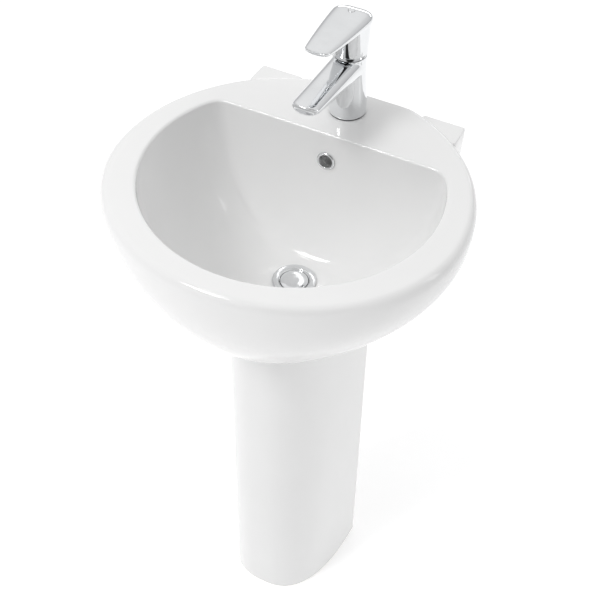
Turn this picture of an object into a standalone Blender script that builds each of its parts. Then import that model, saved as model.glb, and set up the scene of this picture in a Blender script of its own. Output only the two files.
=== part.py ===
"""Pedestal wash basin with a single-lever mixer tap, push-plug waste and bottle trap.

Metres, +Z up.  The origin is on the floor, at the middle of the basin's width and depth.
The wall is the plane y = BACK_Y and the basin's front edge is at y = -BACK_Y.
Every height below is taken from the floor, from the rim or from the tap deck.
"""

import math

import bmesh
import bpy
import numpy as np
from mathutils import Matrix, Vector

# ------------------------------------------------------------------ driving dimensions
WIDTH = 0.500
BACK_Y = 0.225
RIM_Z = 0.840
GAP = 0.0003
SEAL_GAP = 0.0009

RIM_MID_Y = -0.0055
RIM_REACH_FRONT = 0.2195
RIM_REACH_BACK = 0.247
RIM_EDGE_DROP = 0.016
RIM_EDGE_ROUND = 0.012
DECK_EDGE_ROUND = 0.004

EAR_HALF_FRONT = 0.166
EAR_HALF_BACK = 0.158
EAR_FRONT_Y = 0.120
EAR_DROP = 0.004
EAR_HEIGHT = 0.115
EAR_CORNER = 0.012

BOWL_HALF = 0.2045
BOWL_MID_Y = 0.011
BOWL_REACH = 0.197
BOWL_BACK_Y = 0.1165
BOWL_CORNER_SOFT = 0.008
BOWL_LIP_Z = RIM_Z - 0.004
SEAT_Z = RIM_Z - 0.198
SEAT_R = 0.038
WASTE_Y = 0.020

FOOT_HALF = 0.0805
FOOT_FRONT_Y = -0.1135
FOOT_BACK_Y = 0.0765
FOOT_Z = RIM_Z - 0.2155
FOOT_ANGLE = math.radians(62)
FOOT_EASE = 1.22
FOOT_SIDE_EASE = 0.12
BOSS_R = 0.045
BOSS_TOP_Z = RIM_Z - 0.229
BOSS_Z = RIM_Z - 0.240
SQUARENESS = 2.6

WALL_THICK = 0.013
BACK_WALL = 0.012
DECK_THICK = 0.020
RECESS_HALF = 0.138

OVERFLOW_DROP = 0.045
OVERFLOW_HOLE_R = 0.0115
DUCT_OFFSET = 0.015
DUCT_DEEPENING = 0.004
DUCT_END_Z = SEAT_Z - 0.022
DUCT_R = 0.0125
DUCT_BORE_R = 0.0075
TAP_HOLE_R = 0.0175
WASTE_HOLE_R = 0.023
WALL_HOLE_R = 0.008
WALL_HOLE_X = 0.100
WALL_HOLE_Z = RIM_Z - 0.075
OUTLET_Z = 0.478

PEDESTAL_TOP_HALF = 0.0925
PEDESTAL_TOP_FRONT_Y = -0.0935
PEDESTAL_TOP_BACK_Y = 0.0945
PEDESTAL_FOOT_HALF = 0.095
PEDESTAL_FOOT_FRONT_Y = -0.1025
PEDESTAL_FOOT_BACK_Y = 0.0765
PEDESTAL_WALL = 0.012
JOINT_GAP = 0.0026
BED_LEVEL_Y = 0.045

TAP_Y = 0.178
TAP_BASE_R = 0.0265
TAP_NECK_R = 0.0240
NECK_TOP_UP = 0.0945
PIVOT_UP = 0.086
PIVOT_Z = RIM_Z + PIVOT_UP
DOME_R = 0.0250
HUB_BORE_R = 0.0258
HUB_LIP_UP = 0.100
SPOUT_REACH = 0.136
LEVER_REACH = 0.104
LEVER_HEAD_R = 0.029
STUD_R = 0.004
STUD_Y = -0.010
INLET_R = 0.005
INLET_X = 0.0065
INLET_Y = 0.0075

RING_POINTS = 64
BLADE_POINTS = 24
ROUND_STEPS = 24
SMALL_STEPS = 18
HEX_STEPS = 12

CERAMIC = ("glazed_ceramic", (0.93, 0.93, 0.925), 0.06, 0.0)
CHROME = ("chrome", (0.80, 0.81, 0.82), 0.06, 1.0)
BRASS = ("brass", (0.72, 0.55, 0.25), 0.30, 1.0)
STEEL = ("steel", (0.62, 0.62, 0.63), 0.28, 1.0)
RUBBER = ("black_rubber", (0.03, 0.03, 0.032), 0.65, 0.0)
SEALANT = ("white_sealant", (0.88, 0.88, 0.86), 0.45, 0.0)
PLASTIC = ("white_plastic", (0.86, 0.87, 0.88), 0.35, 0.0)
GREY_PLASTIC = ("grey_plastic", (0.30, 0.31, 0.33), 0.45, 0.0)


# ------------------------------------------------------------------ helpers
def clear_scene():
    """Empty the file, so that the model is built from nothing."""
    for item in list(bpy.data.objects):
        bpy.data.objects.remove(item, do_unlink=True)


def material(finish):
    """The Principled material of a finish, made once and shared."""
    name, colour, roughness, metallic = finish
    made = bpy.data.materials.get(name)
    if made:
        return made
    made = bpy.data.materials.new(name)
    made.use_nodes = True
    shader = made.node_tree.nodes["Principled BSDF"]
    shader.inputs["Base Color"].default_value = (*colour, 1.0)
    shader.inputs["Roughness"].default_value = roughness
    shader.inputs["Metallic"].default_value = metallic
    return made


def new_object(name, mesh, finish=None, parent=None, at=(0.0, 0.0, 0.0)):
    """A named object whose mesh is drawn about its own origin, placed at a world point."""
    made = bpy.data.objects.new(name, mesh)
    bpy.context.scene.collection.objects.link(made)
    made.location = at
    if parent:
        made.parent = parent
        made.location = Vector(at) - parent.matrix_world.translation
    if finish:
        mesh.materials.append(material(finish))
    return made


def empty(name, at, parent=None):
    """A joint's empty: it stands on the joint's axis and carries what turns there."""
    made = bpy.data.objects.new(name, None)
    bpy.context.scene.collection.objects.link(made)
    made.location = at
    if parent:
        made.parent = parent
        made.location = Vector(at) - parent.matrix_world.translation
    bpy.context.view_layer.update()
    return made


def loft(name, rings, closed=False, smooth_angle=40):
    """A closed skin over rings of equal length; closed joins the last ring to the first."""
    shape = bmesh.new()
    layers = [[shape.verts.new(point) for point in ring] for ring in rings]
    pairs = list(zip(layers, layers[1:]))
    if closed:
        pairs.append((layers[-1], layers[0]))
    count = len(rings[0])
    for low, high in pairs:
        for i in range(count):
            j = (i + 1) % count
            shape.faces.new((low[i], low[j], high[j], high[i]))
    if not closed:
        shape.faces.new(list(reversed(layers[0])))
        shape.faces.new(layers[-1])
    bmesh.ops.remove_doubles(shape, verts=shape.verts, dist=1e-6)
    bmesh.ops.dissolve_degenerate(shape, edges=shape.edges, dist=1e-6)
    bmesh.ops.recalc_face_normals(shape, faces=shape.faces)
    mesh = bpy.data.meshes.new(name)
    shape.to_mesh(mesh)
    shape.free()
    mesh.shade_smooth()
    mesh.set_sharp_from_angle(angle=math.radians(smooth_angle))
    return mesh


def circle(radius, z, steps=ROUND_STEPS):
    """Points round a level circle."""
    points = []
    for i in range(steps):
        angle = 2.0 * math.pi * i / steps
        points.append((radius * math.cos(angle), radius * math.sin(angle), z))
    return points


def hexagon(across, z, steps):
    """Points round a level hexagon, given its width across flats."""
    points = []
    sixth = math.pi / 3.0
    for i in range(steps):
        angle = 2.0 * math.pi * i / steps
        off = (angle + sixth / 2.0) % sixth - sixth / 2.0
        radius = across / 2.0 / math.cos(off)
        points.append((radius * math.cos(angle), radius * math.sin(angle), z))
    return points


def turned_solid(name, profile, steps=ROUND_STEPS):
    """A solid of revolution about Z from (radius, height) pairs, bottom to top."""
    return loft(name, [circle(radius, z, steps) for radius, z in profile])


def turned_ring(name, profile, steps=ROUND_STEPS):
    """A ring of revolution about Z from a closed loop of (radius, height) pairs."""
    return loft(name, [circle(radius, z, steps) for radius, z in profile], closed=True)


def washer(name, inner, outer, low, high, steps=ROUND_STEPS):
    """A flat ring."""
    return turned_ring(name, [(outer, low), (outer, high), (inner, high), (inner, low)], steps)


def hex_nut(name, across, bore, low, high, steps=HEX_STEPS):
    """A hexagonal nut with a round bore and chamfered corners."""
    cut = 0.0008
    rings = [
        hexagon(across - 2 * cut, low, steps),
        hexagon(across, low + cut, steps),
        hexagon(across, high - cut, steps),
        hexagon(across - 2 * cut, high, steps),
        circle(bore, high, steps),
        circle(bore, low, steps),
    ]
    return loft(name, rings, closed=True)


def cutter(name, mesh, parent=None):
    """A tool body that only cuts or joins and is never part of the model."""
    made = new_object(name, mesh, None, parent)
    made.hide_render = True
    made.display_type = "WIRE"
    return made


def combine(target, tool, operation):
    """A live Boolean with the exact solver."""
    step = target.modifiers.new(operation.lower() + "_" + tool.name, "BOOLEAN")
    step.operation = operation
    step.solver = "EXACT"
    step.object = tool


def cylinder_cutter(name, radius, start, end, steps=SMALL_STEPS):
    """A round tool body between two world points."""
    start = Vector(start)
    span = Vector(end) - start
    mesh = turned_solid(name, [(radius, 0.0), (radius, span.length)], steps)
    mesh.transform(span.to_track_quat("Z", "Y").to_matrix().to_4x4())
    made = cutter(name, mesh)
    made.location = start
    return made


def box_cutter(name, low, high):
    """A box tool body between two opposite corners."""
    corners = [(low[0], low[1]), (high[0], low[1]), (high[0], high[1]), (low[0], high[1])]
    rings = []
    for z in (low[2], high[2]):
        rings.append([(x, y, z) for x, y in corners])
    return cutter(name, loft(name, rings))


def aim_along_y(mesh):
    """Turn a mesh drawn about Z so that its Z lies along +Y."""
    mesh.transform(Matrix.Rotation(math.radians(-90.0), 4, "X"))
    return mesh


# ------------------------------------------------------------------ basin outlines
def angles(count=RING_POINTS):
    return np.linspace(0.0, 2.0 * math.pi, count, endpoint=False)


def rim_outline(inset=0.0, wall_inset=0.0):
    """The rim's plan: two half ellipses about its widest line, cut flat by the wall."""
    angle = angles()
    x = (WIDTH / 2.0 - inset) * np.cos(angle)
    reach = np.where(np.sin(angle) < 0.0, RIM_REACH_FRONT - inset, RIM_REACH_BACK - inset)
    y = np.minimum(RIM_MID_Y + reach * np.sin(angle), BACK_Y - wall_inset)
    return np.stack([x, y], axis=1)


def bowl_outline(inset=0.0):
    """The bowl's mouth: an ellipse whose back is pressed flat with soft corners."""
    angle = angles()
    x = (BOWL_HALF + inset) * np.cos(angle)
    y = BOWL_MID_Y + (BOWL_REACH + inset) * np.sin(angle)
    back = BOWL_BACK_Y + inset
    y = back - BOWL_CORNER_SOFT * np.logaddexp(0.0, (back - y) / BOWL_CORNER_SOFT)
    return np.stack([x, y], axis=1)


def round_outline(radius, centre_y):
    angle = angles()
    return np.stack([radius * np.cos(angle), centre_y + radius * np.sin(angle)], axis=1)


def u_outline(half, front_y, back_y, angle):
    """Half a superellipse in front, with straight sides running back."""
    c = np.cos(angle)
    s = np.sin(angle)
    power = 2.0 / SQUARENESS
    x = half * np.sign(c) * np.abs(c) ** power
    y = np.where(s < 0.0, back_y - (back_y - front_y) * np.abs(s) ** power, back_y)
    return np.stack([x, y], axis=1)


def foot_outline():
    """Where the bowl's underside turns in over the pedestal."""
    return u_outline(FOOT_HALF, FOOT_FRONT_Y, FOOT_BACK_Y, angles())


def at_height(outline, z):
    return [(x, y, z) for x, y in outline]


def underside_ring(step):
    """An underside section: step 0 at the rim's edge, 1 at the foot, 2 at the waste boss."""
    edge_z = RIM_Z - RIM_EDGE_DROP
    foot = foot_outline()
    if step <= 1.0:
        turn = FOOT_ANGLE * step
        share = (math.cos(turn) - math.cos(FOOT_ANGLE)) / (1.0 - math.cos(FOOT_ANGLE))
        share = max(share, 0.0) ** (FOOT_EASE + FOOT_SIDE_EASE * np.cos(2.0 * angles()))
        z = edge_z + (FOOT_Z - edge_z) * math.sin(turn) / math.sin(FOOT_ANGLE)
        return foot + share[:, None] * (rim_outline() - foot), z
    share = step - 1.0
    boss = round_outline(BOSS_R, WASTE_Y)
    z = FOOT_Z + (BOSS_TOP_Z - FOOT_Z) * (1.0 - (1.0 - share) ** 2)
    return foot + share * (boss - foot), z


def bowl_ring(turn):
    """A bowl section: turn 0 at the mouth, 90 degrees at the flat seat of the waste."""
    share = math.cos(turn)
    depth = math.sin(turn) ** 1.15
    seat = round_outline(SEAT_R, WASTE_Y)
    z = BOWL_LIP_Z + (SEAT_Z - BOWL_LIP_Z) * depth
    return seat + share * (bowl_outline() - seat), z


def underside_z(x, y):
    """Height of the basin's underside above a point, found by halving between its sections."""
    centre = np.array([0.0, WASTE_Y - 0.01])
    radius = math.hypot(x - centre[0], y - centre[1])
    heading = math.atan2(y - centre[1], x - centre[0])
    low = 0.0
    high = 2.0
    for _ in range(30):
        middle = (low + high) / 2.0
        outline, z = underside_ring(middle)
        offset = outline - centre
        polar = np.arctan2(offset[:, 1], offset[:, 0])
        order = np.argsort(polar)
        reach = np.hypot(offset[:, 0], offset[:, 1])
        edge = np.interp(heading, polar[order], reach[order], period=2.0 * math.pi)
        if edge > radius:
            low = middle
        else:
            high = middle
    return z


# ------------------------------------------------------------------ basin
def basin_rings():
    """Sections from the boss, up the underside, over the rim and down the bowl."""
    rings = []
    for step in (2.0, 1.66, 1.33):
        rings.append(at_height(*underside_ring(step)))
    for step in (1.0, 0.95, 0.9, 0.82, 0.72, 0.6, 0.47, 0.34, 0.22, 0.11, 0.0):
        rings.append(at_height(*underside_ring(step)))
    for turn in (30.0, 60.0, 90.0):
        swing = math.radians(turn)
        inset = RIM_EDGE_ROUND * (1.0 - math.cos(swing))
        wall_inset = DECK_EDGE_ROUND * (1.0 - math.cos(swing))
        z = RIM_Z - RIM_EDGE_DROP * (1.0 - math.sin(swing))
        rings.append(at_height(rim_outline(inset, wall_inset), z))
    rings.append(at_height(bowl_outline(0.005), RIM_Z - 0.0005))
    for turn in (0.0, 8.0, 17.0, 27.0, 38.0, 49.0, 60.0, 70.0, 80.0, 90.0):
        rings.append(at_height(*bowl_ring(math.radians(turn))))
    return rings


def ear_block():
    """The flat back of the basin, a little lower than the rim, which stands against the wall."""
    rings = []
    top = RIM_Z - EAR_DROP
    levels = ((0.0, 0.0035), (0.0035, 0.0), (0.045, 0.003), (0.085, 0.014), (EAR_HEIGHT, 0.034))
    for drop, inset in reversed(levels):
        front = EAR_FRONT_Y + 0.35 * drop
        half_front = EAR_HALF_FRONT - inset
        half_back = EAR_HALF_BACK - inset
        back = BACK_Y - (0.0035 if drop == 0.0 else 0.0)
        ring = [(-half_front, front), (half_front, front)]
        for side in (1.0, -1.0):
            corner = []
            for turn in (0.0, 30.0, 60.0, 90.0):
                swing = math.radians(turn)
                x = half_back - EAR_CORNER * (1.0 - math.cos(swing))
                y = back - EAR_CORNER * (1.0 - math.sin(swing))
                corner.append((side * x, y))
            ring.extend(corner if side > 0.0 else reversed(corner))
        rings.append([(x, y, top - drop) for x, y in ring])
    return loft("ear_block", rings)


def recess_tool():
    """The hollow under the tap deck, open below, where the tap and the wall nuts are reached."""
    rings = []
    ceiling = RIM_Z - DECK_THICK
    for turn in (0.0, 12.0, 20.0, 30.0, 42.0, 55.0, 68.0):
        outline, z = bowl_ring(math.radians(turn))
        back = float(outline[:, 1].max()) + WALL_THICK
        narrowing = 0.052 * max(0.0, (ceiling - z) / 0.16) ** 1.5
        half = RECESS_HALF - narrowing
        rings.append((half, back, min(z, ceiling)))
    floor = BOSS_Z - 0.02
    half, back, z = rings[-1]
    boss_back = WASTE_Y + BOSS_R + 0.006
    rings.append((half, max(boss_back, back - 0.004), FOOT_Z - 0.004))
    rings.append((half, max(boss_back, back - 0.004), floor))
    wall = BACK_Y - BACK_WALL
    loops = []
    for half, front, z in reversed(rings):
        loops.append([(-half, front, z), (half, front, z), (half, wall, z), (-half, wall, z)])
    return cutter("recess_tool", loft("recess_tool", loops))


def duct_path(offset, first_turn):
    """Points behind the bowl's back wall, from the overflow down to the waste boss."""
    points = []
    for turn in np.linspace(first_turn, 76.0, 12):
        here = bowl_back_point(math.radians(turn))
        ahead = bowl_back_point(math.radians(turn + 1.0))
        along = (ahead - here).normalized()
        outward = Vector((0.0, -along.z, along.y))
        points.append(here + outward * (offset + DUCT_DEEPENING * (turn / 76.0) ** 3))
    points.append(Vector((0.0, WASTE_Y + WASTE_HOLE_R - 0.004, DUCT_END_Z)))
    return points


def bowl_back_point(turn):
    """The bowl's back wall on the middle plane."""
    outline, z = bowl_ring(turn)
    return Vector((0.0, float(outline[:, 1].max()), z))


def duct_tool(name, radius, first_turn):
    """A round bar swept down the overflow's path."""
    path = duct_path(DUCT_OFFSET, first_turn)
    rings = []
    for i, point in enumerate(path):
        before = path[max(i - 1, 0)]
        after = path[min(i + 1, len(path) - 1)]
        along = (after - before).normalized()
        side = Vector((1.0, 0.0, 0.0))
        up = along.cross(side)
        ring = []
        for angle in np.linspace(0.0, 2.0 * math.pi, 16, endpoint=False):
            ring.append(point + side * (radius * math.cos(angle)) + up * (radius * math.sin(angle)))
        rings.append(ring)
    return cutter(name, loft(name, rings))


def overflow_turn():
    """The bowl angle whose height is the overflow's."""
    share = (OVERFLOW_DROP - (RIM_Z - BOWL_LIP_Z)) / (BOWL_LIP_Z - SEAT_Z)
    return math.asin(share ** (1.0 / 1.15))


def overflow_frame():
    """The overflow hole's centre on the bowl's back wall, and the direction out of the wall."""
    turn = overflow_turn()
    here = bowl_back_point(turn)
    ahead = bowl_back_point(turn + 0.02)
    along = (ahead - here).normalized()
    return here, Vector((0.0, along.z, -along.y))


def make_basin():
    basin = new_object("basin", loft("basin", basin_rings()), CERAMIC)
    ears = cutter("ear_tool", ear_block())
    combine(basin, ears, "UNION")
    combine(basin, recess_tool(), "DIFFERENCE")
    combine(basin, duct_tool("duct_tool", DUCT_R, 6.0), "UNION")
    boss_r = BOSS_R - 0.004
    boss = turned_solid(
        "boss_tool", [(boss_r - 0.001, BOSS_Z), (boss_r, BOSS_Z + 0.001), (boss_r, SEAT_Z - 0.006)]
    )
    boss.transform(Matrix.Translation((0.0, WASTE_Y, 0.0)))
    combine(basin, cutter("boss_tool", boss), "UNION")
    combine(basin, duct_tool("duct_bore_tool", DUCT_BORE_R, 11.0), "DIFFERENCE")
    centre, out = overflow_frame()
    bore = cylinder_cutter("overflow_bore", OVERFLOW_HOLE_R, centre + out * 0.012, centre - out * 0.017)
    combine(basin, bore, "DIFFERENCE")
    waste = cylinder_cutter(
        "waste_bore", WASTE_HOLE_R, (0.0, WASTE_Y, BOSS_Z - 0.01), (0.0, WASTE_Y, SEAT_Z + 0.01), ROUND_STEPS
    )
    combine(basin, waste, "DIFFERENCE")
    tap = cylinder_cutter("tap_bore", TAP_HOLE_R, (0.0, TAP_Y, RIM_Z - 0.04), (0.0, TAP_Y, RIM_Z + 0.01))
    combine(basin, tap, "DIFFERENCE")
    for side, label in ((-1.0, "left"), (1.0, "right")):
        hole = cylinder_cutter(
            "wall_bore_" + label,
            WALL_HOLE_R,
            (side * WALL_HOLE_X, BACK_Y - 0.03, WALL_HOLE_Z),
            (side * WALL_HOLE_X, BACK_Y + 0.01, WALL_HOLE_Z),
            16,
        )
        combine(basin, hole, "DIFFERENCE")


# ------------------------------------------------------------------ pedestal
def pedestal_outline(level, inset, count=41):
    """The pedestal's open plan at a level from 0 at the floor to 1 at the top."""
    share = np.linspace(-1.0, 1.0, count)
    angle = 1.5 * math.pi + 0.5 * math.pi * np.sign(share) * (1.0 - (1.0 - np.abs(share)) ** 1.3)
    half = PEDESTAL_FOOT_HALF + (PEDESTAL_TOP_HALF - PEDESTAL_FOOT_HALF) * level
    front = PEDESTAL_FOOT_FRONT_Y + (PEDESTAL_TOP_FRONT_Y - PEDESTAL_FOOT_FRONT_Y) * level
    back = PEDESTAL_FOOT_BACK_Y + (PEDESTAL_TOP_BACK_Y - PEDESTAL_FOOT_BACK_Y) * level
    return u_outline(half - inset, front + inset, back, angle)


def u_wall(name, levels):
    """A U-shaped wall: each level is its outer line, its inner line and their heights."""
    shape = bmesh.new()
    layers = []
    for outer, inner in levels:
        loop = list(outer) + list(reversed(inner))
        layers.append([shape.verts.new(point) for point in loop])
    count = len(layers[0])
    half = count // 2
    for low, high in zip(layers, layers[1:]):
        for i in range(count):
            j = (i + 1) % count
            shape.faces.new((low[i], low[j], high[j], high[i]))
    for layer in (layers[0], layers[-1]):
        for i in range(half - 1):
            mate = count - 1 - i
            shape.faces.new((layer[i], layer[i + 1], layer[mate - 1], layer[mate]))
    bmesh.ops.recalc_face_normals(shape, faces=shape.faces)
    mesh = bpy.data.meshes.new(name)
    shape.to_mesh(mesh)
    shape.free()
    mesh.shade_smooth()
    mesh.set_sharp_from_angle(angle=math.radians(40))
    return mesh


def bed_z(x, y):
    """The height of the bedding line: it follows the bowl, then runs level along the back."""
    return underside_z(x, min(y, BED_LEVEL_Y))


def make_pedestal():
    top = RIM_Z - 0.22
    levels = []
    for level, inset in ((0.0, 0.003), (0.005, 0.0), (0.25, 0.0), (0.5, 0.0), (0.75, 0.0), (0.93, 0.0)):
        z = top * level
        outer = at_height(pedestal_outline(level, inset), z)
        inner = at_height(pedestal_outline(level, PEDESTAL_WALL), z)
        levels.append((outer, inner))
    outer = [(x, y, bed_z(x, y) - JOINT_GAP) for x, y in pedestal_outline(1.0, 0.0)]
    inner = [(x, y, bed_z(x, y) - JOINT_GAP) for x, y in pedestal_outline(1.0, PEDESTAL_WALL)]
    levels.append((outer, inner))
    new_object("pedestal", u_wall("pedestal", levels), CERAMIC)


def make_joint_seal():
    """The bead of white sealant that beds the basin on the pedestal's top edge."""
    outer = pedestal_outline(1.0, 0.0015)
    inner = pedestal_outline(1.0, PEDESTAL_WALL - 0.0015)
    levels = []
    for clearance in (JOINT_GAP - 2.5 * GAP, SEAL_GAP):
        lines = []
        for line in (outer, inner):
            lines.append([(x, y, bed_z(x, y) - clearance) for x, y in line])
        levels.append(tuple(lines))
    new_object("joint_seal", u_wall("joint_seal", levels), SEALANT)


# ------------------------------------------------------------------ tap
def spout_section(reach):
    """Half width, widest height, thickness above and below it, at a distance from the tap's axis."""
    share = reach / SPOUT_REACH
    half = 0.0235 - 0.0040 * share
    edge = 0.0760 + 0.0108 * share
    above = NECK_TOP_UP - 0.0760 - 0.0115 * share
    below = 0.0140 - 0.0080 * share
    return half, edge, above, below


def spout_mesh():
    """The spout: a broad tapering arm, crowned above and bellied below, rising to its tip."""
    rings = []
    stations = list(np.linspace(0.0, SPOUT_REACH - 0.006, 6)) + [SPOUT_REACH - 0.002, SPOUT_REACH]
    for reach in stations:
        half, edge, above, below = spout_section(reach)
        trim = max(0.0, (reach - (SPOUT_REACH - 0.006)) / 0.006)
        soft = 1.0 - 0.16 * trim ** 2
        ring = []
        for angle in np.linspace(0.0, 2.0 * math.pi, BLADE_POINTS, endpoint=False):
            c = math.cos(angle)
            s = math.sin(angle)
            x = half * soft * math.copysign(abs(c) ** 0.75, c)
            rise = above if s > 0.0 else below
            z = edge + rise * soft * math.copysign(abs(s) ** 0.9, s)
            bulge = 0.004 * (1.0 - (x / half) ** 2) * share_at_tip(reach)
            ring.append((x, -reach - bulge + 0.004 * share_at_tip(reach), z))
        rings.append(ring)
    return loft("spout_tool", rings)


def share_at_tip(reach):
    """Zero along the spout, rising to one over its last stretch."""
    return max(0.0, (reach - SPOUT_REACH * 0.8) / (SPOUT_REACH * 0.2))


def tap_parent():
    return Vector((0.0, TAP_Y, RIM_Z))


def make_tap_body():
    at = tap_parent()
    column = [
        (TAP_BASE_R - 0.0008, 0.0015),
        (TAP_BASE_R, 0.0023),
        (TAP_BASE_R, 0.018),
        (0.0258, 0.035),
        (0.0247, 0.052),
        (TAP_NECK_R, 0.066),
        (TAP_NECK_R, NECK_TOP_UP),
    ]
    body = new_object("tap_body", turned_solid("tap_body", column), CHROME, at=at)
    tools = []
    spout = cutter("spout_tool", spout_mesh())
    tools.append((spout, "UNION"))
    seat = cutter("dome_seat_tool", turned_solid("dome_seat_tool", [(0.0262, NECK_TOP_UP), (0.0262, 0.120)]))
    tools.append((seat, "DIFFERENCE"))
    chamber = turned_solid(
        "chamber_tool", [(0.0175, 0.034), (0.0175, 0.0827), (0.0195, 0.0828), (0.0195, 0.120)]
    )
    tools.append((cutter("chamber_tool", chamber), "DIFFERENCE"))
    skirt = turned_solid("skirt_tool", [(0.0225, -0.01), (0.0225, 0.020)])
    tools.append((cutter("skirt_tool", skirt), "DIFFERENCE"))
    return body, tools


def finish_tap_body():
    body, tools = make_tap_body()
    lens = SPOUT_REACH - 0.017
    pocket = turned_solid("aerator_pocket", [(0.0112, -0.020), (0.0112, 0.008)])
    pocket.transform(Matrix.Translation((0.0, -lens, spout_section(lens)[1] - 0.0035)))
    tools.append((cutter("aerator_pocket", pocket), "DIFFERENCE"))
    chamber_end = (0.0, -0.010, 0.066)
    pocket_end = (0.0, -lens + 0.004, spout_section(lens)[1] + 0.0015)
    waterway = cylinder_cutter("waterway_tool", 0.0042, chamber_end, pocket_end, 12)
    tools.append((waterway, "DIFFERENCE"))
    for side, label in ((-1.0, "hot"), (1.0, "cold")):
        profile = [(INLET_R + GAP, 0.010), (INLET_R + GAP, 0.028), (0.0030, 0.0281), (0.0030, 0.036)]
        feed = turned_solid("feed_tool_" + label, profile, 16)
        feed.transform(Matrix.Translation((side * INLET_X, INLET_Y, 0.0)))
        tools.append((cutter("feed_tool_" + label, feed), "DIFFERENCE"))
    tapping = turned_solid("stud_tapping", [(STUD_R + GAP, 0.010), (STUD_R + GAP, 0.030)], 16)
    tapping.transform(Matrix.Translation((0.0, STUD_Y, 0.0)))
    tools.append((cutter("stud_tapping", tapping), "DIFFERENCE"))
    for tool, operation in tools:
        tool.parent = body
        combine(body, tool, operation)


def make_tap_fixings():
    """The tap's seal on the deck, its cartridge, and what clamps it under the deck."""
    at = tap_parent()
    new_object("tap_base_seal", washer("tap_base_seal", 0.0195, 0.0255, GAP, 0.0012), RUBBER, at=at)
    cartridge = turned_solid("cartridge", [(0.0170, 0.0345), (0.0170, 0.0822)])
    made = new_object("cartridge", cartridge, GREY_PLASTIC, at=at)
    socket = turned_solid("cartridge_socket", [(0.0110, 0.0775), (0.0110, 0.0900)])
    socket = cutter("cartridge_socket", socket, made)
    combine(made, socket, "DIFFERENCE")
    nut = turned_ring(
        "cartridge_nut", [(0.0190, 0.0833), (0.0190, 0.0905), (0.0125, 0.0905), (0.0115, 0.0833)]
    )
    new_object("cartridge_nut", nut, BRASS, at=at)
    profile = []
    for turn in np.linspace(21.0, 50.0, 5):
        swing = math.radians(turn)
        profile.append((DOME_R * math.cos(swing), PIVOT_UP + DOME_R * math.sin(swing)))
    inner = []
    for turn in np.linspace(44.0, 26.0, 3):
        swing = math.radians(turn)
        inner.append((0.0217 * math.cos(swing), PIVOT_UP + 0.0217 * math.sin(swing)))
    loop = profile + inner
    new_object("cartridge_dome", turned_ring("cartridge_dome", loop), CHROME, at=at)


def make_under_deck_clamp():
    """Fixing stud, horseshoe washer, clamp plate and nut under the deck, and the two inlets."""
    under = Vector((0.0, TAP_Y, RIM_Z - DECK_THICK))
    beside = under + Vector((0.0, STUD_Y, 0.0))
    stud_profile = [(STUD_R - 0.0005, -0.0400), (STUD_R, -0.0395), (STUD_R, 0.0480)]
    stud = turned_solid("tap_stud", stud_profile, 16)
    new_object("tap_stud", stud, STEEL, at=beside)
    for name, low, high, finish in (
        ("tap_rubber_washer", -0.0035, -GAP, RUBBER),
        ("tap_clamp_plate", -0.0063, -0.0038, STEEL),
    ):
        plate = new_object(name, turned_solid(name, [(0.026, low), (0.026, high)]), finish, at=under)
        slot = box_cutter(name + "_slot", (-0.0135, 0.0010, low - 0.01), (0.0135, 0.040, high + 0.01))
        foot = (0.0, STUD_Y, low - 0.01)
        head = (0.0, STUD_Y, high + 0.01)
        hole = cylinder_cutter(name + "_hole", STUD_R + GAP, foot, head, 16)
        for tool in (slot, hole):
            tool.parent = plate
            combine(plate, tool, "DIFFERENCE")
    nut = hex_nut("tap_stud_nut", 0.013, STUD_R + 2 * GAP, -0.0130, -0.0066)
    new_object("tap_stud_nut", nut, BRASS, at=beside)


def make_inlets():
    """The two threaded inlets that the supply hoses screw on."""
    for side, label in ((-1.0, "hot"), (1.0, "cold")):
        low = -0.0420
        high = 0.0275
        profile = [
            (INLET_R - 0.0006, low),
            (INLET_R, low + 0.0006),
            (INLET_R, high),
            (INLET_R / 2.0, high),
            (INLET_R / 2.0, low),
        ]
        inlet = turned_ring(label + "_inlet", profile, 16)
        new_object(label + "_inlet", inlet, BRASS, at=(side * INLET_X, TAP_Y + INLET_Y, RIM_Z))


def make_aerator():
    lens = SPOUT_REACH - 0.017
    at = Vector((0.0, TAP_Y - lens, RIM_Z + spout_section(lens)[1] - 0.0035))
    housing = turned_ring(
        "aerator_housing",
        [(0.0100, -0.0045), (0.0108, -0.0038), (0.0108, 0.0055), (0.0088, 0.0055), (0.0088, -0.0045)],
        SMALL_STEPS,
    )
    new_object("aerator_housing", housing, CHROME, at=at)
    seal = washer("aerator_seal", 0.0055, 0.0106, 0.0058, 0.0077, SMALL_STEPS)
    new_object("aerator_seal", seal, RUBBER, at=at)
    insert = turned_solid("aerator_insert", [(0.0084, -0.0035), (0.0084, 0.0054)], SMALL_STEPS)
    new_object("aerator_insert", insert, GREY_PLASTIC, at=at)


def make_turret(swivel):
    """The cartridge's turning head: two cheeks that hold the stem's pivot pin."""
    at = tap_parent()
    head = turned_solid("cartridge_turret", [(0.0105, 0.0780), (0.0105, 0.0945)])
    turret = new_object("cartridge_turret", head, PLASTIC, swivel, at)
    slot = box_cutter("turret_slot", (-0.0045, -0.02, 0.0795), (0.0045, 0.02, 0.0980))
    slot.parent = turret
    combine(turret, slot, "DIFFERENCE")
    bore = cylinder_cutter("turret_pin_bore", 0.0018, (-0.02, 0.0, PIVOT_UP), (0.02, 0.0, PIVOT_UP), 12)
    bore.parent = turret
    combine(turret, bore, "DIFFERENCE")
    pin = turned_solid("stem_pin", [(0.0015, -0.0098), (0.0015, 0.0098)], 12)
    pin.transform(Matrix.Rotation(math.radians(90.0), 4, "Y"))
    new_object("stem_pin", pin, STEEL, swivel, at + Vector((0.0, 0.0, PIVOT_UP)))


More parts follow.
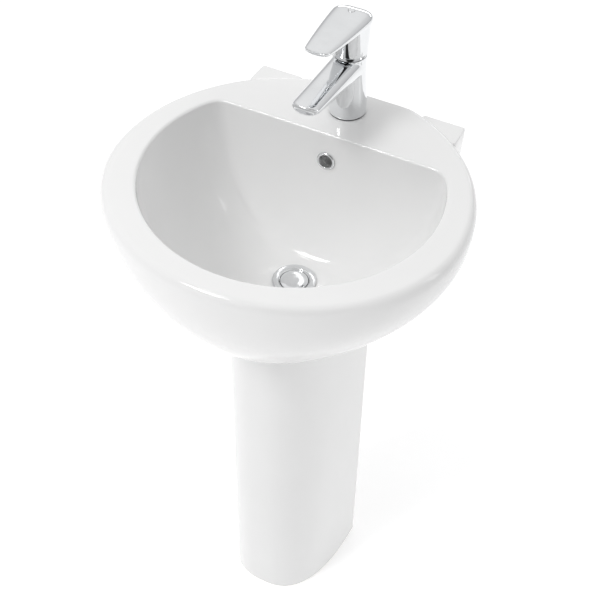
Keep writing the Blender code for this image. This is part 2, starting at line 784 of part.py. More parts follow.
def lever_half(reach):
    """Half width in plan: a round head over the tap's axis that runs out into a narrowing blade."""
    if reach < 0.0:
        return math.sqrt(max(0.0, LEVER_HEAD_R ** 2 - reach ** 2))
    return LEVER_HEAD_R - 0.0117 * (reach / LEVER_REACH) ** 1.3


def lever_section(reach):
    """Half width, edge height, crown and thickness under the edge, in front of the tap's axis."""
    share = max(0.0, reach / LEVER_REACH)
    back = max(0.0, -reach / LEVER_HEAD_R)
    edge = 0.1485 + 0.0055 * share - 0.0070 * back ** 2
    crown = (0.0105 - 0.0070 * share) * math.sqrt(max(0.0, 1.0 - back ** 2))
    under = 0.0060 - 0.0030 * share
    return lever_half(reach), edge, crown, under


def lever_plate_mesh():
    """The lever's blade: crowned on top, flat under, its back rounded over the hub."""
    rings = []
    stations = [-0.0285, -0.0265, -0.022, -0.014, 0.0, 0.012, 0.020, 0.032, 0.056, 0.080, 0.099]
    stations.append(LEVER_REACH)
    for reach in stations:
        half, edge, crown, under = lever_section(reach)
        front = max(0.0, (reach - 0.099) / 0.005)
        ring = []
        for angle in np.linspace(0.0, 2.0 * math.pi, BLADE_POINTS, endpoint=False):
            c = math.cos(angle)
            s = math.sin(angle)
            x = half * (1.0 - 0.10 * front) * math.copysign(abs(c) ** 0.6, c)
            rise = crown if s > 0.0 else under
            z = edge + rise * (1.0 - 0.25 * front) * math.copysign(abs(s) ** 0.8, s)
            ring.append((x, -reach, z - PIVOT_UP))
        rings.append(ring)
    return loft("lever", rings)


def make_lever(lift):
    """The lever, its stem, its screw and the blank cap over the screw."""
    at = tap_parent() + Vector((0.0, 0.0, PIVOT_UP))
    lever = new_object("lever", lever_plate_mesh(), CHROME, lift, at)
    lip = HUB_LIP_UP - PIVOT_UP
    hub_profile = [(0.0250, lip), (0.0253, lip + 0.0006), (0.0275, 0.0590), (0.0240, 0.0640)]
    hub = turned_solid("hub_tool", hub_profile)
    combine(lever, cutter("hub_tool", hub, lever), "UNION")
    profile = []
    for turn in np.linspace(0.0, 85.0, 9):
        swing = math.radians(turn)
        profile.append((HUB_BORE_R * math.cos(swing), HUB_BORE_R * math.sin(swing)))
    combine(lever, cutter("hub_bore", turned_solid("hub_bore", profile), lever), "DIFFERENCE")
    socket_profile = [
        (0.0043, 0.010),
        (0.0043, 0.0500),
        (0.0023, 0.0501),
        (0.0023, 0.0600),
        (0.0048, 0.0601),
        (0.0048, 0.085),
    ]
    socket = turned_solid("stem_socket", socket_profile, SMALL_STEPS)
    combine(lever, cutter("stem_socket", socket, lever), "DIFFERENCE")

    stem = turned_solid("stem", [(0.0040, -0.0045), (0.0040, 0.0495)], 16)
    made = new_object("stem", stem, STEEL, lift, at)
    bore = cylinder_cutter("stem_pin_tool", 0.0018, (-0.01, 0.0, 0.0), (0.01, 0.0, 0.0), 12)
    bore.parent = made
    combine(made, bore, "DIFFERENCE")
    tapping = turned_solid("stem_tapping", [(0.0023, 0.0300), (0.0023, 0.0600)], 12)
    combine(made, cutter("stem_tapping", tapping, made), "DIFFERENCE")

    screw_profile = [
        (0.0019, 0.0340),
        (0.0020, 0.0345),
        (0.0020, 0.0604),
        (0.0042, 0.0604),
        (0.0042, 0.0645),
    ]
    screw = turned_solid("lever_screw", screw_profile, 16)
    new_object("lever_screw", screw, STEEL, lift, at)
    cap = turned_solid("lever_cap", [(0.0045, 0.0665), (0.0045, 0.0730), (0.0038, 0.0736)], SMALL_STEPS)
    new_object("lever_cap", cap, CHROME, lift, at)


# ------------------------------------------------------------------ overflow, waste and trap
def make_overflow_ring():
    centre, out = overflow_frame()
    profile = [
        (0.0112, -0.0060),
        (0.0112, 0.0009),
        (0.0135, 0.0009),
        (0.0135, 0.0018),
        (0.0122, 0.0029),
        (0.0100, 0.0024),
        (0.0098, -0.0060),
    ]
    mesh = turned_ring("overflow_ring", profile)
    mesh.transform(out.to_track_quat("Z", "Y").to_matrix().to_4x4())
    new_object("overflow_ring", mesh, CHROME, at=centre)


def make_waste():
    """Flanged waste body with its seals and nut, and the push plug that closes it."""
    at = Vector((0.0, WASTE_Y, 0.0))
    top = SEAT_Z
    flange = turned_ring(
        "waste_body",
        [
            (0.0212, 0.5620),
            (0.0212, top + 0.0012),
            (0.0315, top + 0.0012),
            (0.0322, top + 0.0020),
            (0.0300, top + 0.0032),
            (0.0232, top + 0.0030),
            (0.0190, top - 0.0040),
            (0.0180, top - 0.0060),
            (0.0180, 0.5620),
        ],
    )
    body = new_object("waste_body", flange, CHROME, at=at)
    for side, label in ((0.0, "back"), (180.0, "front")):
        slot = box_cutter("waste_slot_" + label, (-0.005, 0.010, 0.614), (0.005, 0.030, 0.630))
        slot.parent = body
        slot.rotation_euler = (0.0, 0.0, math.radians(side))
        combine(body, slot, "DIFFERENCE")
    upper_seal = washer("waste_top_seal", 0.0240, 0.0300, top + GAP, top + 0.0009)
    new_object("waste_top_seal", upper_seal, RUBBER, at=at)
    seal_foot = BOSS_Z - 0.0080
    seal_head = BOSS_Z - GAP
    seal = turned_ring(
        "waste_lower_seal",
        [(0.0215, seal_foot), (0.0330, seal_foot), (0.0300, seal_head), (0.0215, seal_head)],
    )
    new_object("waste_lower_seal", seal, RUBBER, at=at)
    nut = hex_nut("waste_back_nut", 0.056, 0.0216, BOSS_Z - 0.0180, BOSS_Z - 0.0083, 24)
    new_object("waste_back_nut", nut, BRASS, at=at)
    guide = washer("plug_guide", 0.0042, 0.0177, top - 0.0420, top - 0.0380)
    made = new_object("plug_guide", guide, PLASTIC, at=at)
    for i in range(3):
        drill = turned_solid("guide_hole", [(0.0050, top - 0.05), (0.0050, top - 0.03)], 12)
        hole = cutter("guide_hole_" + str(i), drill)
        hole.parent = made
        angle = 2.0 * math.pi * i / 3.0
        hole.location = (0.0110 * math.cos(angle), 0.0110 * math.sin(angle), 0.0)
        combine(made, hole, "DIFFERENCE")


def make_plug(travel):
    """The plug and its stem slide up and down in the waste."""
    at = Vector((0.0, WASTE_Y, SEAT_Z))
    plug_profile = [
        (0.0060, -0.0085),
        (0.0150, -0.0080),
        (0.0150, -0.0058),
        (0.0196, -0.0016),
        (0.0205, 0.0008),
        (0.0200, 0.0020),
        (0.0150, 0.0027),
    ]
    made = new_object("plug", turned_solid("plug", plug_profile), CHROME, travel, at)
    tapping = turned_solid("plug_tapping", [(0.0033, -0.02), (0.0033, -0.0030)], 12)
    combine(made, cutter("plug_tapping", tapping, made), "DIFFERENCE")
    seal = washer("plug_seal", 0.0153, 0.0170, -0.0078, -0.0062)
    new_object("plug_seal", seal, RUBBER, travel, at)
    stem_profile = [(0.0038, -0.0600), (0.0038, -0.0089), (0.0030, -0.0088), (0.0030, -0.0036)]
    new_object("plug_stem", turned_solid("plug_stem", stem_profile, 16), BRASS, travel, at)


def make_trap_inlet(at):
    """The nut and washer that seal the waste's tail into the trap."""
    profile = [
        (0.0240, 0.5480),
        (0.0250, 0.5740),
        (0.0215, 0.5740),
        (0.0215, 0.5585),
        (0.0163, 0.5570),
        (0.0163, 0.5480),
    ]
    new_object("trap_inlet_nut", turned_ring("trap_inlet_nut", profile), CHROME, at=at)
    seal = washer("trap_inlet_washer", 0.0163, 0.0208, 0.5590, 0.5617)
    new_object("trap_inlet_washer", seal, RUBBER, at=at)


def make_trap_head(at):
    """The trap's head: inlet neck and dip tube, with the outlet at its back."""
    profile = [
        (0.0290, 0.4500),
        (0.0300, 0.4510),
        (0.0300, 0.5000),
        (0.0260, 0.5090),
        (0.0160, 0.5140),
        (0.0160, 0.5610),
    ]
    body = new_object("trap_head", turned_solid("trap_head", profile), CHROME, at=at)
    stub = aim_along_y(turned_solid("outlet_stub", [(0.0185, 0.0), (0.0185, 0.045)]))
    stub = cutter("outlet_stub", stub, body)
    stub.location = (0.0, 0.0, OUTLET_Z)
    combine(body, stub, "UNION")
    hollow_profile = [(0.0270, 0.4400), (0.0270, 0.4960), (0.0165, 0.5050), (0.0165, 0.4400)]
    hollow = cutter("head_hollow", turned_ring("head_hollow", hollow_profile), body)
    combine(body, hollow, "DIFFERENCE")
    bore = turned_solid("inlet_bore", [(0.0140, 0.4300), (0.0140, 0.5800)])
    combine(body, cutter("inlet_bore", bore, body), "DIFFERENCE")
    way = aim_along_y(turned_solid("outlet_bore", [(0.0150, 0.0), (0.0150, 0.060)]))
    way = cutter("outlet_bore", way, body)
    way.location = (0.0, 0.020, OUTLET_Z)
    combine(body, way, "DIFFERENCE")


def make_trap():
    """Bottle trap: head with its dip tube, cup, outlet pipe and wall rosette."""
    at = Vector((0.0, WASTE_Y, 0.0))
    make_trap_inlet(at)
    make_trap_head(at)
    shell = [
        (0.0001, 0.3790),
        (0.0200, 0.3800),
        (0.0280, 0.3880),
        (0.0290, 0.4360),
        (0.0330, 0.4380),
        (0.0330, 0.4496),
    ]
    made = new_object("trap_cup", turned_solid("trap_cup", shell), CHROME, at=at)
    inside = [(0.0001, 0.3820), (0.0190, 0.3830), (0.0250, 0.3900), (0.0255, 0.4600)]
    hollow = turned_solid("cup_hollow", inside)
    combine(made, cutter("cup_hollow", hollow, made), "DIFFERENCE")
    nut_profile = [
        (0.0225, 0.0),
        (0.0225, 0.0160),
        (0.0163, 0.0160),
        (0.0163, 0.0095),
        (0.0188, 0.0085),
        (0.0188, 0.0),
    ]
    nut = aim_along_y(turned_ring("trap_outlet_nut", nut_profile))
    new_object("trap_outlet_nut", nut, CHROME, at=(0.0, WASTE_Y + 0.0370, OUTLET_Z))
    start = WASTE_Y + 0.0455
    length = BACK_Y - GAP - start
    pipe_profile = [(0.0160, 0.0), (0.0160, length), (0.0145, length), (0.0145, 0.0)]
    pipe = aim_along_y(turned_ring("outlet_pipe", pipe_profile))
    new_object("outlet_pipe", pipe, CHROME, at=(0.0, start, OUTLET_Z))
    rosette_profile = [
        (0.0164, -0.0110),
        (0.0250, -0.0110),
        (0.0340, -0.0040),
        (0.0350, 0.0),
        (0.0164, 0.0),
    ]
    rosette = aim_along_y(turned_ring("wall_rosette", rosette_profile))
    new_object("wall_rosette", rosette, CHROME, at=(0.0, BACK_Y - GAP, OUTLET_Z))


def make_wall_fixings():
    """Stud, sleeve, washer and nut at each wall hole; the studs end at the wall's face."""
    inner = BACK_Y - BACK_WALL
    stud_profile = [(0.0045, -0.0280), (0.0050, -0.0275), (0.0050, BACK_WALL - GAP)]
    collar_profile = [
        (0.0140, -0.0040),
        (0.0140, -GAP),
        (0.0076, -GAP),
        (0.0076, BACK_WALL - 0.0020),
        (0.0053, BACK_WALL - 0.0020),
        (0.0053, -0.0040),
    ]
    for side, label in ((-1.0, "left"), (1.0, "right")):
        meshes = (
            (turned_solid("wall_stud_" + label, stud_profile, 16), STEEL),
            (turned_ring("wall_collar_" + label, collar_profile, SMALL_STEPS), PLASTIC),
            (washer("wall_washer_" + label, 0.0053, 0.0120, -0.0060, -0.0043, SMALL_STEPS), STEEL),
            (hex_nut("wall_nut_" + label, 0.0170, 0.0056, -0.0143, -0.0063), STEEL),
        )
        for mesh, finish in meshes:
            at = Vector((side * WALL_HOLE_X, inner, WALL_HOLE_Z))
            new_object(mesh.name, aim_along_y(mesh), finish, at=at)


def main():
    clear_scene()
    make_basin()
    make_pedestal()
    make_joint_seal()
    finish_tap_body()
    make_tap_fixings()
    make_under_deck_clamp()
    make_inlets()
    make_aerator()
    pivot = (0.0, TAP_Y, PIVOT_Z)
    swivel = empty("lever_swivel_axis", pivot)
    lift = empty("lever_lift_axis", pivot, swivel)
    make_turret(swivel)
    make_lever(lift)
    make_overflow_ring()
    make_waste()
    travel = empty("plug_travel_axis", (0.0, WASTE_Y, SEAT_Z))
    make_plug(travel)
    make_trap()
    make_wall_fixings()


main()
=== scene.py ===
"""Pedestal wash basin: the visible ceramic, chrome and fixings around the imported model.

Metres, +Z up.  The wall is at +Y, the front faces -Y and the floor is z = 0.
"""

import math

import bmesh
import bpy
import numpy as np
from bpy.props import FloatProperty, FloatVectorProperty, IntProperty, PointerProperty
from mathutils import Matrix, Vector


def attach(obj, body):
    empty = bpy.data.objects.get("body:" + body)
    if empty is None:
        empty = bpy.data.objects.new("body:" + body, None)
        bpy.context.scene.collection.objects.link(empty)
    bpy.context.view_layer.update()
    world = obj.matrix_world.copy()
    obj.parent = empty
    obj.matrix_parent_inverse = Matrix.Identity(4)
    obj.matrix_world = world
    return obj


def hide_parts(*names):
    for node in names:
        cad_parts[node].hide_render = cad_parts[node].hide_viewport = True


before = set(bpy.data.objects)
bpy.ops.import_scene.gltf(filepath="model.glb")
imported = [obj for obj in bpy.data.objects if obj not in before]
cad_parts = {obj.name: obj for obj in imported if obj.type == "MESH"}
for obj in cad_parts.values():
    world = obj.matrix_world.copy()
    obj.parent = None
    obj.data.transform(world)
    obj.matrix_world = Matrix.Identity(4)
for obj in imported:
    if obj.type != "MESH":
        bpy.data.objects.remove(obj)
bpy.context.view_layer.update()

bl_info = {
    "name": "Pedestal wash basin",
    "version": (1, 0, 0),
    "blender": (4, 5, 0),
    "location": "View3D > Sidebar > Basin",
    "description": "Builds a glazed pedestal basin with its mixer tap, waste and trap",
    "category": "Add Mesh",
}

FIXED = "basin_set"
RIM_Z = 0.840
BACK_Y = 0.225
MOUTH_Z = RIM_Z - 0.004
EDGE_Z = RIM_Z - 0.016
EDGE_INSET = 0.012
WALL_EASE = 0.004
HALF_WIDTH = 0.25
FRONT_REACH = 0.2195
BACK_REACH = 0.247
RIM_MID_Y = -0.0055
BOWL_POWER = 1.15
WASTE_Y = 0.020
TAP_Y = 0.178
TAP_AT = (0.0, TAP_Y)
WASTE_AT = (0.0, WASTE_Y)
SEAT_Z = 0.642
BOSS_TOP_Z = 0.611
BOSS_Z = 0.600
FOOT_Z = 0.6245
OUTLET_Z = 0.478
WALL_HOLE_X = 0.1
WALL_HOLE_Z = 0.765
PIVOT_Z = 0.926
SPOUT_Z = 0.0760
SPOUT_RISE = 0.0108
INLET_X = 0.0065
INLET_Y = 0.0075
STUD_Y = TAP_Y - 0.010
PEDESTAL_SPAN = 0.62
WALL_STEPS = 181
END_STEPS = 7
MERGE = 2e-6
NEAR_AXIS = 1e-7
TAU = 2.0 * math.pi


# ------------------------------------------------------------------ sizes and colours
class BasinSizes(bpy.types.PropertyGroup):
    """Sizes of the ceramic basin."""

    lip_round: FloatProperty(
        name="Lip round", description="How far the bowl's edge rounds in plan", default=0.0045, unit="LENGTH"
    )
    bowl_rows: IntProperty(name="Bowl rows", description="Rows of faces down the bowl", default=84)
    columns: IntProperty(name="Columns", description="Columns of faces round the basin", default=432)


class PedestalSizes(bpy.types.PropertyGroup):
    """Sizes of the pedestal."""

    wall: FloatProperty(
        name="Wall", description="Thickness of the pedestal's wall", default=0.012, unit="LENGTH"
    )
    foot_round: FloatProperty(
        name="Foot round", description="Rounding of the wall at the floor", default=0.003, unit="LENGTH"
    )


class TapSizes(bpy.types.PropertyGroup):
    """Sizes of the mixer tap."""

    base_radius: FloatProperty(
        name="Base radius", description="Radius of the column on the deck", default=0.0265, unit="LENGTH"
    )
    spout_reach: FloatProperty(
        name="Spout reach", description="From the column's axis to its tip", default=0.136, unit="LENGTH"
    )
    lever_reach: FloatProperty(
        name="Lever reach", description="From the column's axis to its tip", default=0.104, unit="LENGTH"
    )


class Finishes(bpy.types.PropertyGroup):
    """Colours of the finishes."""

    glaze: FloatVectorProperty(
        name="Glaze", description="Colour of the white glaze", subtype="COLOR", default=(0.855, 0.855, 0.852)
    )
    biscuit: FloatVectorProperty(
        name="Biscuit", description="Colour of the unglazed clay", subtype="COLOR", default=(0.78, 0.75, 0.69)
    )
    chrome: FloatVectorProperty(
        name="Chrome", description="Colour of the chrome plate", subtype="COLOR", default=(0.80, 0.81, 0.82)
    )
    brass: FloatVectorProperty(
        name="Brass", description="Colour of the turned brass", subtype="COLOR", default=(0.72, 0.52, 0.22)
    )
    steel: FloatVectorProperty(
        name="Steel", description="Colour of the plated steel", subtype="COLOR", default=(0.62, 0.63, 0.64)
    )


class StageSettings(bpy.types.PropertyGroup):
    """Floor, lights and camera."""

    floor_half: FloatProperty(
        name="Floor half width", description="Half the floor's side", default=9.0, unit="LENGTH"
    )
    key_power: FloatProperty(
        name="Key power", description="Power of the large light at the left", default=26.0, unit="POWER"
    )
    world_level: FloatProperty(
        name="Room level", description="Brightness of the pale room", default=0.80
    )


GROUPS = (
    ("basin_sizes", BasinSizes),
    ("pedestal_sizes", PedestalSizes),
    ("tap_sizes", TapSizes),
    ("basin_finishes", Finishes),
    ("basin_stage", StageSettings),
)


# ------------------------------------------------------------------ surfaces
def quads(rows, columns, wrap_rows=False, wrap_columns=True):
    """Four-sided faces of a grid whose last row or column may meet the first."""
    index = np.arange(rows * columns).reshape(rows, columns)
    if wrap_rows:
        index = np.vstack([index, index[:1]])
    if wrap_columns:
        index = np.hstack([index, index[:, :1]])
    corners = [index[:-1, :-1], index[:-1, 1:], index[1:, 1:], index[1:, :-1]]
    return np.stack(corners, axis=-1).reshape(-1, 4)


def mesh_of(skins, sharp=32.0):
    """One mesh from (grid, wrap rows, wrap columns) skins, cleaned."""
    points = []
    faces = []
    start = 0
    for grid, wrap_rows, wrap_columns in skins:
        rows, columns = grid.shape[:2]
        points.append(grid.reshape(-1, 3))
        faces.append(quads(rows, columns, wrap_rows, wrap_columns) + start)
        start += rows * columns
    mesh = bpy.data.meshes.new("piece")
    mesh.from_pydata(np.concatenate(points).tolist(), [], np.concatenate(faces).tolist())
    clean(mesh, sharp)
    return mesh


def sleeve(grid, closed=False, sharp=32.0):
    """A mesh from one grid of rings; closed joins the last ring to the first."""
    return mesh_of([(grid, closed, True)], sharp)


def capped(grid):
    """A grid of rings closed at both ends by the middle of its first and its last ring."""
    ends = [np.repeat(grid[[row]].mean(axis=1, keepdims=True), grid.shape[1], axis=1) for row in (0, -1)]
    return np.concatenate([ends[0], grid, ends[1]])


def clean(mesh, sharp):
    """Merges doubles, turns every face outward and marks the edges sharper than an angle in degrees."""
    shape = bmesh.new()
    shape.from_mesh(mesh)
    bmesh.ops.remove_doubles(shape, verts=shape.verts, dist=MERGE)
    bmesh.ops.dissolve_degenerate(shape, edges=shape.edges, dist=MERGE)
    bmesh.ops.recalc_face_normals(shape, faces=shape.faces)
    shape.to_mesh(mesh)
    shape.free()
    mesh.shade_smooth()
    mesh.set_sharp_from_angle(angle=math.radians(sharp))


def linked(name, data):
    """An object in the scene."""
    made = bpy.data.objects.new(name, data)
    bpy.context.scene.collection.objects.link(made)
    return made


def baked(made, sharp):
    """The mesh of an object with its modifiers applied; the object is removed."""
    bpy.context.view_layer.update()
    shown = made.evaluated_get(bpy.context.evaluated_depsgraph_get())
    mesh = bpy.data.meshes.new_from_object(shown)
    bpy.data.objects.remove(made, do_unlink=True)
    clean(mesh, sharp)
    return mesh


def carved(mesh, steps, sharp=32.0):
    """A mesh cut or joined with tool meshes in turn, by the exact Boolean."""
    body = linked("work", mesh)
    tools = []
    for operation, tool in steps:
        tools.append(linked("tool", tool))
        step = body.modifiers.new(operation, "BOOLEAN")
        step.operation = operation
        step.solver = "EXACT"
        step.object = tools[-1]
    made = baked(body, sharp)
    for tool in tools:
        bpy.data.objects.remove(tool, do_unlink=True)
    return made


def fused(mesh, cell, passes):
    """Overlapping skins fused on a fine cell, with the joint relaxed into a fillet."""
    body = linked("work", mesh)
    weld = body.modifiers.new("weld", "REMESH")
    weld.mode = "VOXEL"
    weld.voxel_size = cell
    relax = body.modifiers.new("relax", "SMOOTH")
    relax.factor = 0.5
    relax.iterations = passes
    return baked(body, 60.0)


def rounded(profile, radius=0.0004, steps=4, closed=True):
    """A profile whose corners are rounded: each corner becomes a quadratic curve between its two sides."""
    line = np.asarray(profile, float)
    ends = []
    for shift in (1, -1):
        side = np.roll(line, shift, axis=0) - line
        length = np.linalg.norm(side, axis=1, keepdims=True)
        ends.append((line + side / length * np.minimum(radius, length * 0.45))[:, None])
    share = np.linspace(0.0, 1.0, steps + 1)[None, :, None]
    curve = ends[0] * (1 - share) ** 2 + 2 * line[:, None] * share * (1 - share) + ends[1] * share**2
    if not closed:
        curve[0] = line[0]
        curve[-1] = line[-1]
    return curve.reshape(-1, 2)


def around(profile, steps=96, centre=(0.0, 0.0), base=0.0):
    """A (radius, height) profile carried round a vertical axis, as a grid of points."""
    line = np.asarray(profile, float)
    angle = np.linspace(0.0, TAU, steps, endpoint=False)
    x = centre[0] + line[:, :1] * np.cos(angle)
    y = centre[1] + line[:, :1] * np.sin(angle)
    z = np.repeat(line[:, 1:] + base, steps, axis=1)
    return np.stack([x, y, z], axis=-1)


def turned(profile, steps=96, centre=(0.0, 0.0), base=0.0, radius=0.0004, closed=True):
    """A turned piece: a (radius, height) outline with rounded corners carried round the axis."""
    return sleeve(around(rounded(profile, radius, 4, closed), steps, centre, base), closed)


def solid_profile(profile):
    """A turned solid's outline: from the axis, out and back to the axis."""
    return [(NEAR_AXIS, profile[0][1]), *profile, (NEAR_AXIS, profile[-1][1])]


def drill(profile, steps, centre, base=0.0):
    """A Boolean step that takes a turned solid out of a piece."""
    return "DIFFERENCE", sleeve(around(solid_profile(profile), steps, centre, base))


def moved(mesh, x, y, z):
    """A mesh moved by a step."""
    mesh.transform(Matrix.Translation((x, y, z)))
    return mesh


def aimed(mesh, place, heading):
    """A mesh drawn about +Z turned to a heading and moved to a point."""
    mesh.transform(Matrix.Translation(place) @ heading.to_track_quat("Z", "Y").to_matrix().to_4x4())
    return mesh


def along_y(mesh, at):
    """Turns a mesh drawn about +Z to +Y and moves it to a point."""
    mesh.transform(Matrix.Translation(at) @ Matrix.Rotation(math.radians(-90.0), 4, "X"))
    return mesh


def screw_rod(radius, low, high, pitch, depth, steps=40, bore=0.0):
    """A threaded rod: the radius falls by a rounded saw of height and turn, fading out at both ends."""
    rows = int((high - low) / pitch * 8) + 1
    z = np.linspace(low, high, rows)[:, None]
    angle = np.linspace(0.0, TAU, steps, endpoint=False)[None, :]
    phase = (z / pitch - angle / TAU) % 1.0
    groove = 1.0 - np.abs(2.0 * phase - 1.0)
    fade = np.clip((z - low) / pitch, 0.0, 1.0) * np.clip((high - z) / pitch, 0.0, 1.0)
    r = radius - depth * groove * fade - (1.0 - fade) * depth
    skin = np.stack([r * np.cos(angle), r * np.sin(angle), z + 0.0 * angle], axis=-1)
    inner = max(bore, NEAR_AXIS)
    grid = np.concatenate([around([(inner, low)], steps), skin, around([(inner, high)], steps)])
    return sleeve(grid, bore > 0.0, 50.0)


def hex_piece(across, bore, low, high, steps=96):
    """A hexagonal nut: half its width over the cosine of the turn from a flat, with chamfered corners."""
    angle = np.linspace(0.0, TAU, steps, endpoint=False)
    off = (angle + TAU / 12.0) % (TAU / 6.0) - TAU / 12.0
    flat = across / 2.0
    corner = flat / math.cos(TAU / 12.0)
    chamfer = corner - 0.30 * (corner - flat)
    rows = []
    for most, z in (
        (flat - 0.0002, low),
        (chamfer, low + 0.0007),
        (corner, low + 0.0016),
        (corner, high - 0.0016),
        (chamfer, high - 0.0007),
        (flat - 0.0002, high),
        (bore + 0.0005, high),
        (bore, high - 0.0005),
        (bore, low + 0.0005),
        (bore + 0.0005, low),
    ):
        r = np.minimum(flat / np.cos(off), most)
        rows.append(np.stack([r * np.cos(angle), r * np.sin(angle), np.full(steps, z)], axis=-1))
    return sleeve(np.stack(rows), True, 24.0)


# ------------------------------------------------------------------ basin outlines
def column_turns(count):
    """Turns round the basin, gathered where the back corners leave the rim."""
    even = np.linspace(0.0, TAU, 4001)
    gather = np.ones_like(even)
    for middle in (54.0, 126.0):
        gather += 4.5 * np.exp(-(((np.degrees(even) - middle) / 6.5) ** 2))
    gather += 1.4 * np.exp(-(((np.degrees(even) - 90.0) / 6.0) ** 2))
    travelled = np.concatenate([[0.0], np.cumsum((gather[1:] + gather[:-1]) / 2.0)])
    wanted = np.linspace(0.0, travelled[-1], count, endpoint=False)
    return np.interp(wanted, travelled, even)


def rim_line(angle, inset=0.0, wall_inset=0.0):
    """The rim's plan: two half ellipses about its widest line, cut flat by the wall."""
    s = np.sin(angle)
    reach = np.where(s < 0.0, FRONT_REACH, BACK_REACH) - inset
    y = np.minimum(RIM_MID_Y + reach * s, BACK_Y - wall_inset)
    return np.stack([(HALF_WIDTH - inset) * np.cos(angle), y], axis=-1)


def bowl_line(angle, inset=0.0):
    """The bowl's mouth: an ellipse whose back is pressed flat by a soft minimum."""
    soft = 0.008
    y = 0.011 + (0.197 + inset) * np.sin(angle)
    back = 0.1165 + inset
    y = back - soft * np.logaddexp(0.0, (back - y) / soft)
    return np.stack([(0.2045 + inset) * np.cos(angle), y], axis=-1)


def ring_line(angle, radius):
    """A circle round the waste."""
    return np.stack([radius * np.cos(angle), WASTE_Y + radius * np.sin(angle)], axis=-1)


def u_line(angle, half, front_y, back_y):
    """Half a superellipse in front, with straight sides running back."""
    c = np.cos(angle)
    s = np.sin(angle)
    power = 2.0 / 2.6
    x = half * np.sign(c) * np.abs(c) ** power
    y = np.where(s < 0.0, back_y - (back_y - front_y) * np.abs(s) ** power, back_y)
    return np.stack([x, y], axis=-1)


def foot_line(angle):
    """Where the underside turns in over the pedestal."""
    return u_line(angle, 0.0805, -0.1135, 0.0765)


def under_line(angle, step):
    """The underside's plan and height: step 0 at the rim's edge, 1 at the foot, 2 at the waste boss."""
    foot = foot_line(angle)
    full = math.radians(62.0)
    if step <= 1.0:
        turn = full * step
        share = max((math.cos(turn) - math.cos(full)) / (1.0 - math.cos(full)), 0.0)
        share = share ** (1.22 + 0.12 * np.cos(2.0 * angle))
        z = EDGE_Z + (FOOT_Z - EDGE_Z) * math.sin(turn) / math.sin(full)
        return foot + share[:, None] * (rim_line(angle) - foot), z
    share = step - 1.0
    z = FOOT_Z + (BOSS_TOP_Z - FOOT_Z) * (1.0 - (1.0 - share) ** 2)
    return foot + share * (ring_line(angle, 0.045) - foot), z


def bowl_row(angle, turn):
    """A bowl row: its plan share is the cosine of the turn, its depth the sine to a power."""
    share = math.cos(turn)
    seat = ring_line(angle, 0.038)
    z = MOUTH_Z + (SEAT_Z - MOUTH_Z) * math.sin(turn) ** BOWL_POWER
    return seat + share * (bowl_line(angle) - seat), z


def bowl_back(turn):
    """The bowl's back wall on the middle plane, as y and z."""
    line, z = bowl_row(np.array([TAU / 4.0]), turn)
    return float(line[0, 1]), z


def soft_low(a, b, soft):
    """The lower of two values, rounded over where they meet."""
    return -soft * np.logaddexp(-a / soft, -b / soft)


def corner_reach(start, heading, z):
    """How far the back corner block runs past a point: to the wall or its own side, the nearer one."""
    drop = MOUTH_Z - z
    inset = np.interp(drop, [0.0035, 0.045, 0.085, 0.115], [0.0, 0.003, 0.014, 0.034])
    side_x = 0.166 - inset - 0.008 * (start[:, 1] - 0.120) / 0.105
    to_wall = (BACK_Y - start[:, 1]) / np.maximum(heading[:, 1], 1e-3)
    to_side = (side_x - np.abs(start[:, 0])) / np.maximum(np.abs(heading[:, 0]), 1e-3)
    reach = soft_low(to_wall, to_side, 0.0028)
    behind = np.clip((start[:, 1] - 0.110) / 0.01, 0.0, 1.0)
    end = np.clip((z - 0.721) / 0.003, 0.0, 1.0)
    return np.clip(np.minimum(reach, to_wall), 0.0, None) * behind * end * (heading[:, 1] > 0.0)


def level(line, z):
    """A plan line lifted to a height, which may vary along it."""
    return np.concatenate([line, np.broadcast_to(z, line.shape[:1])[:, None]], axis=-1)


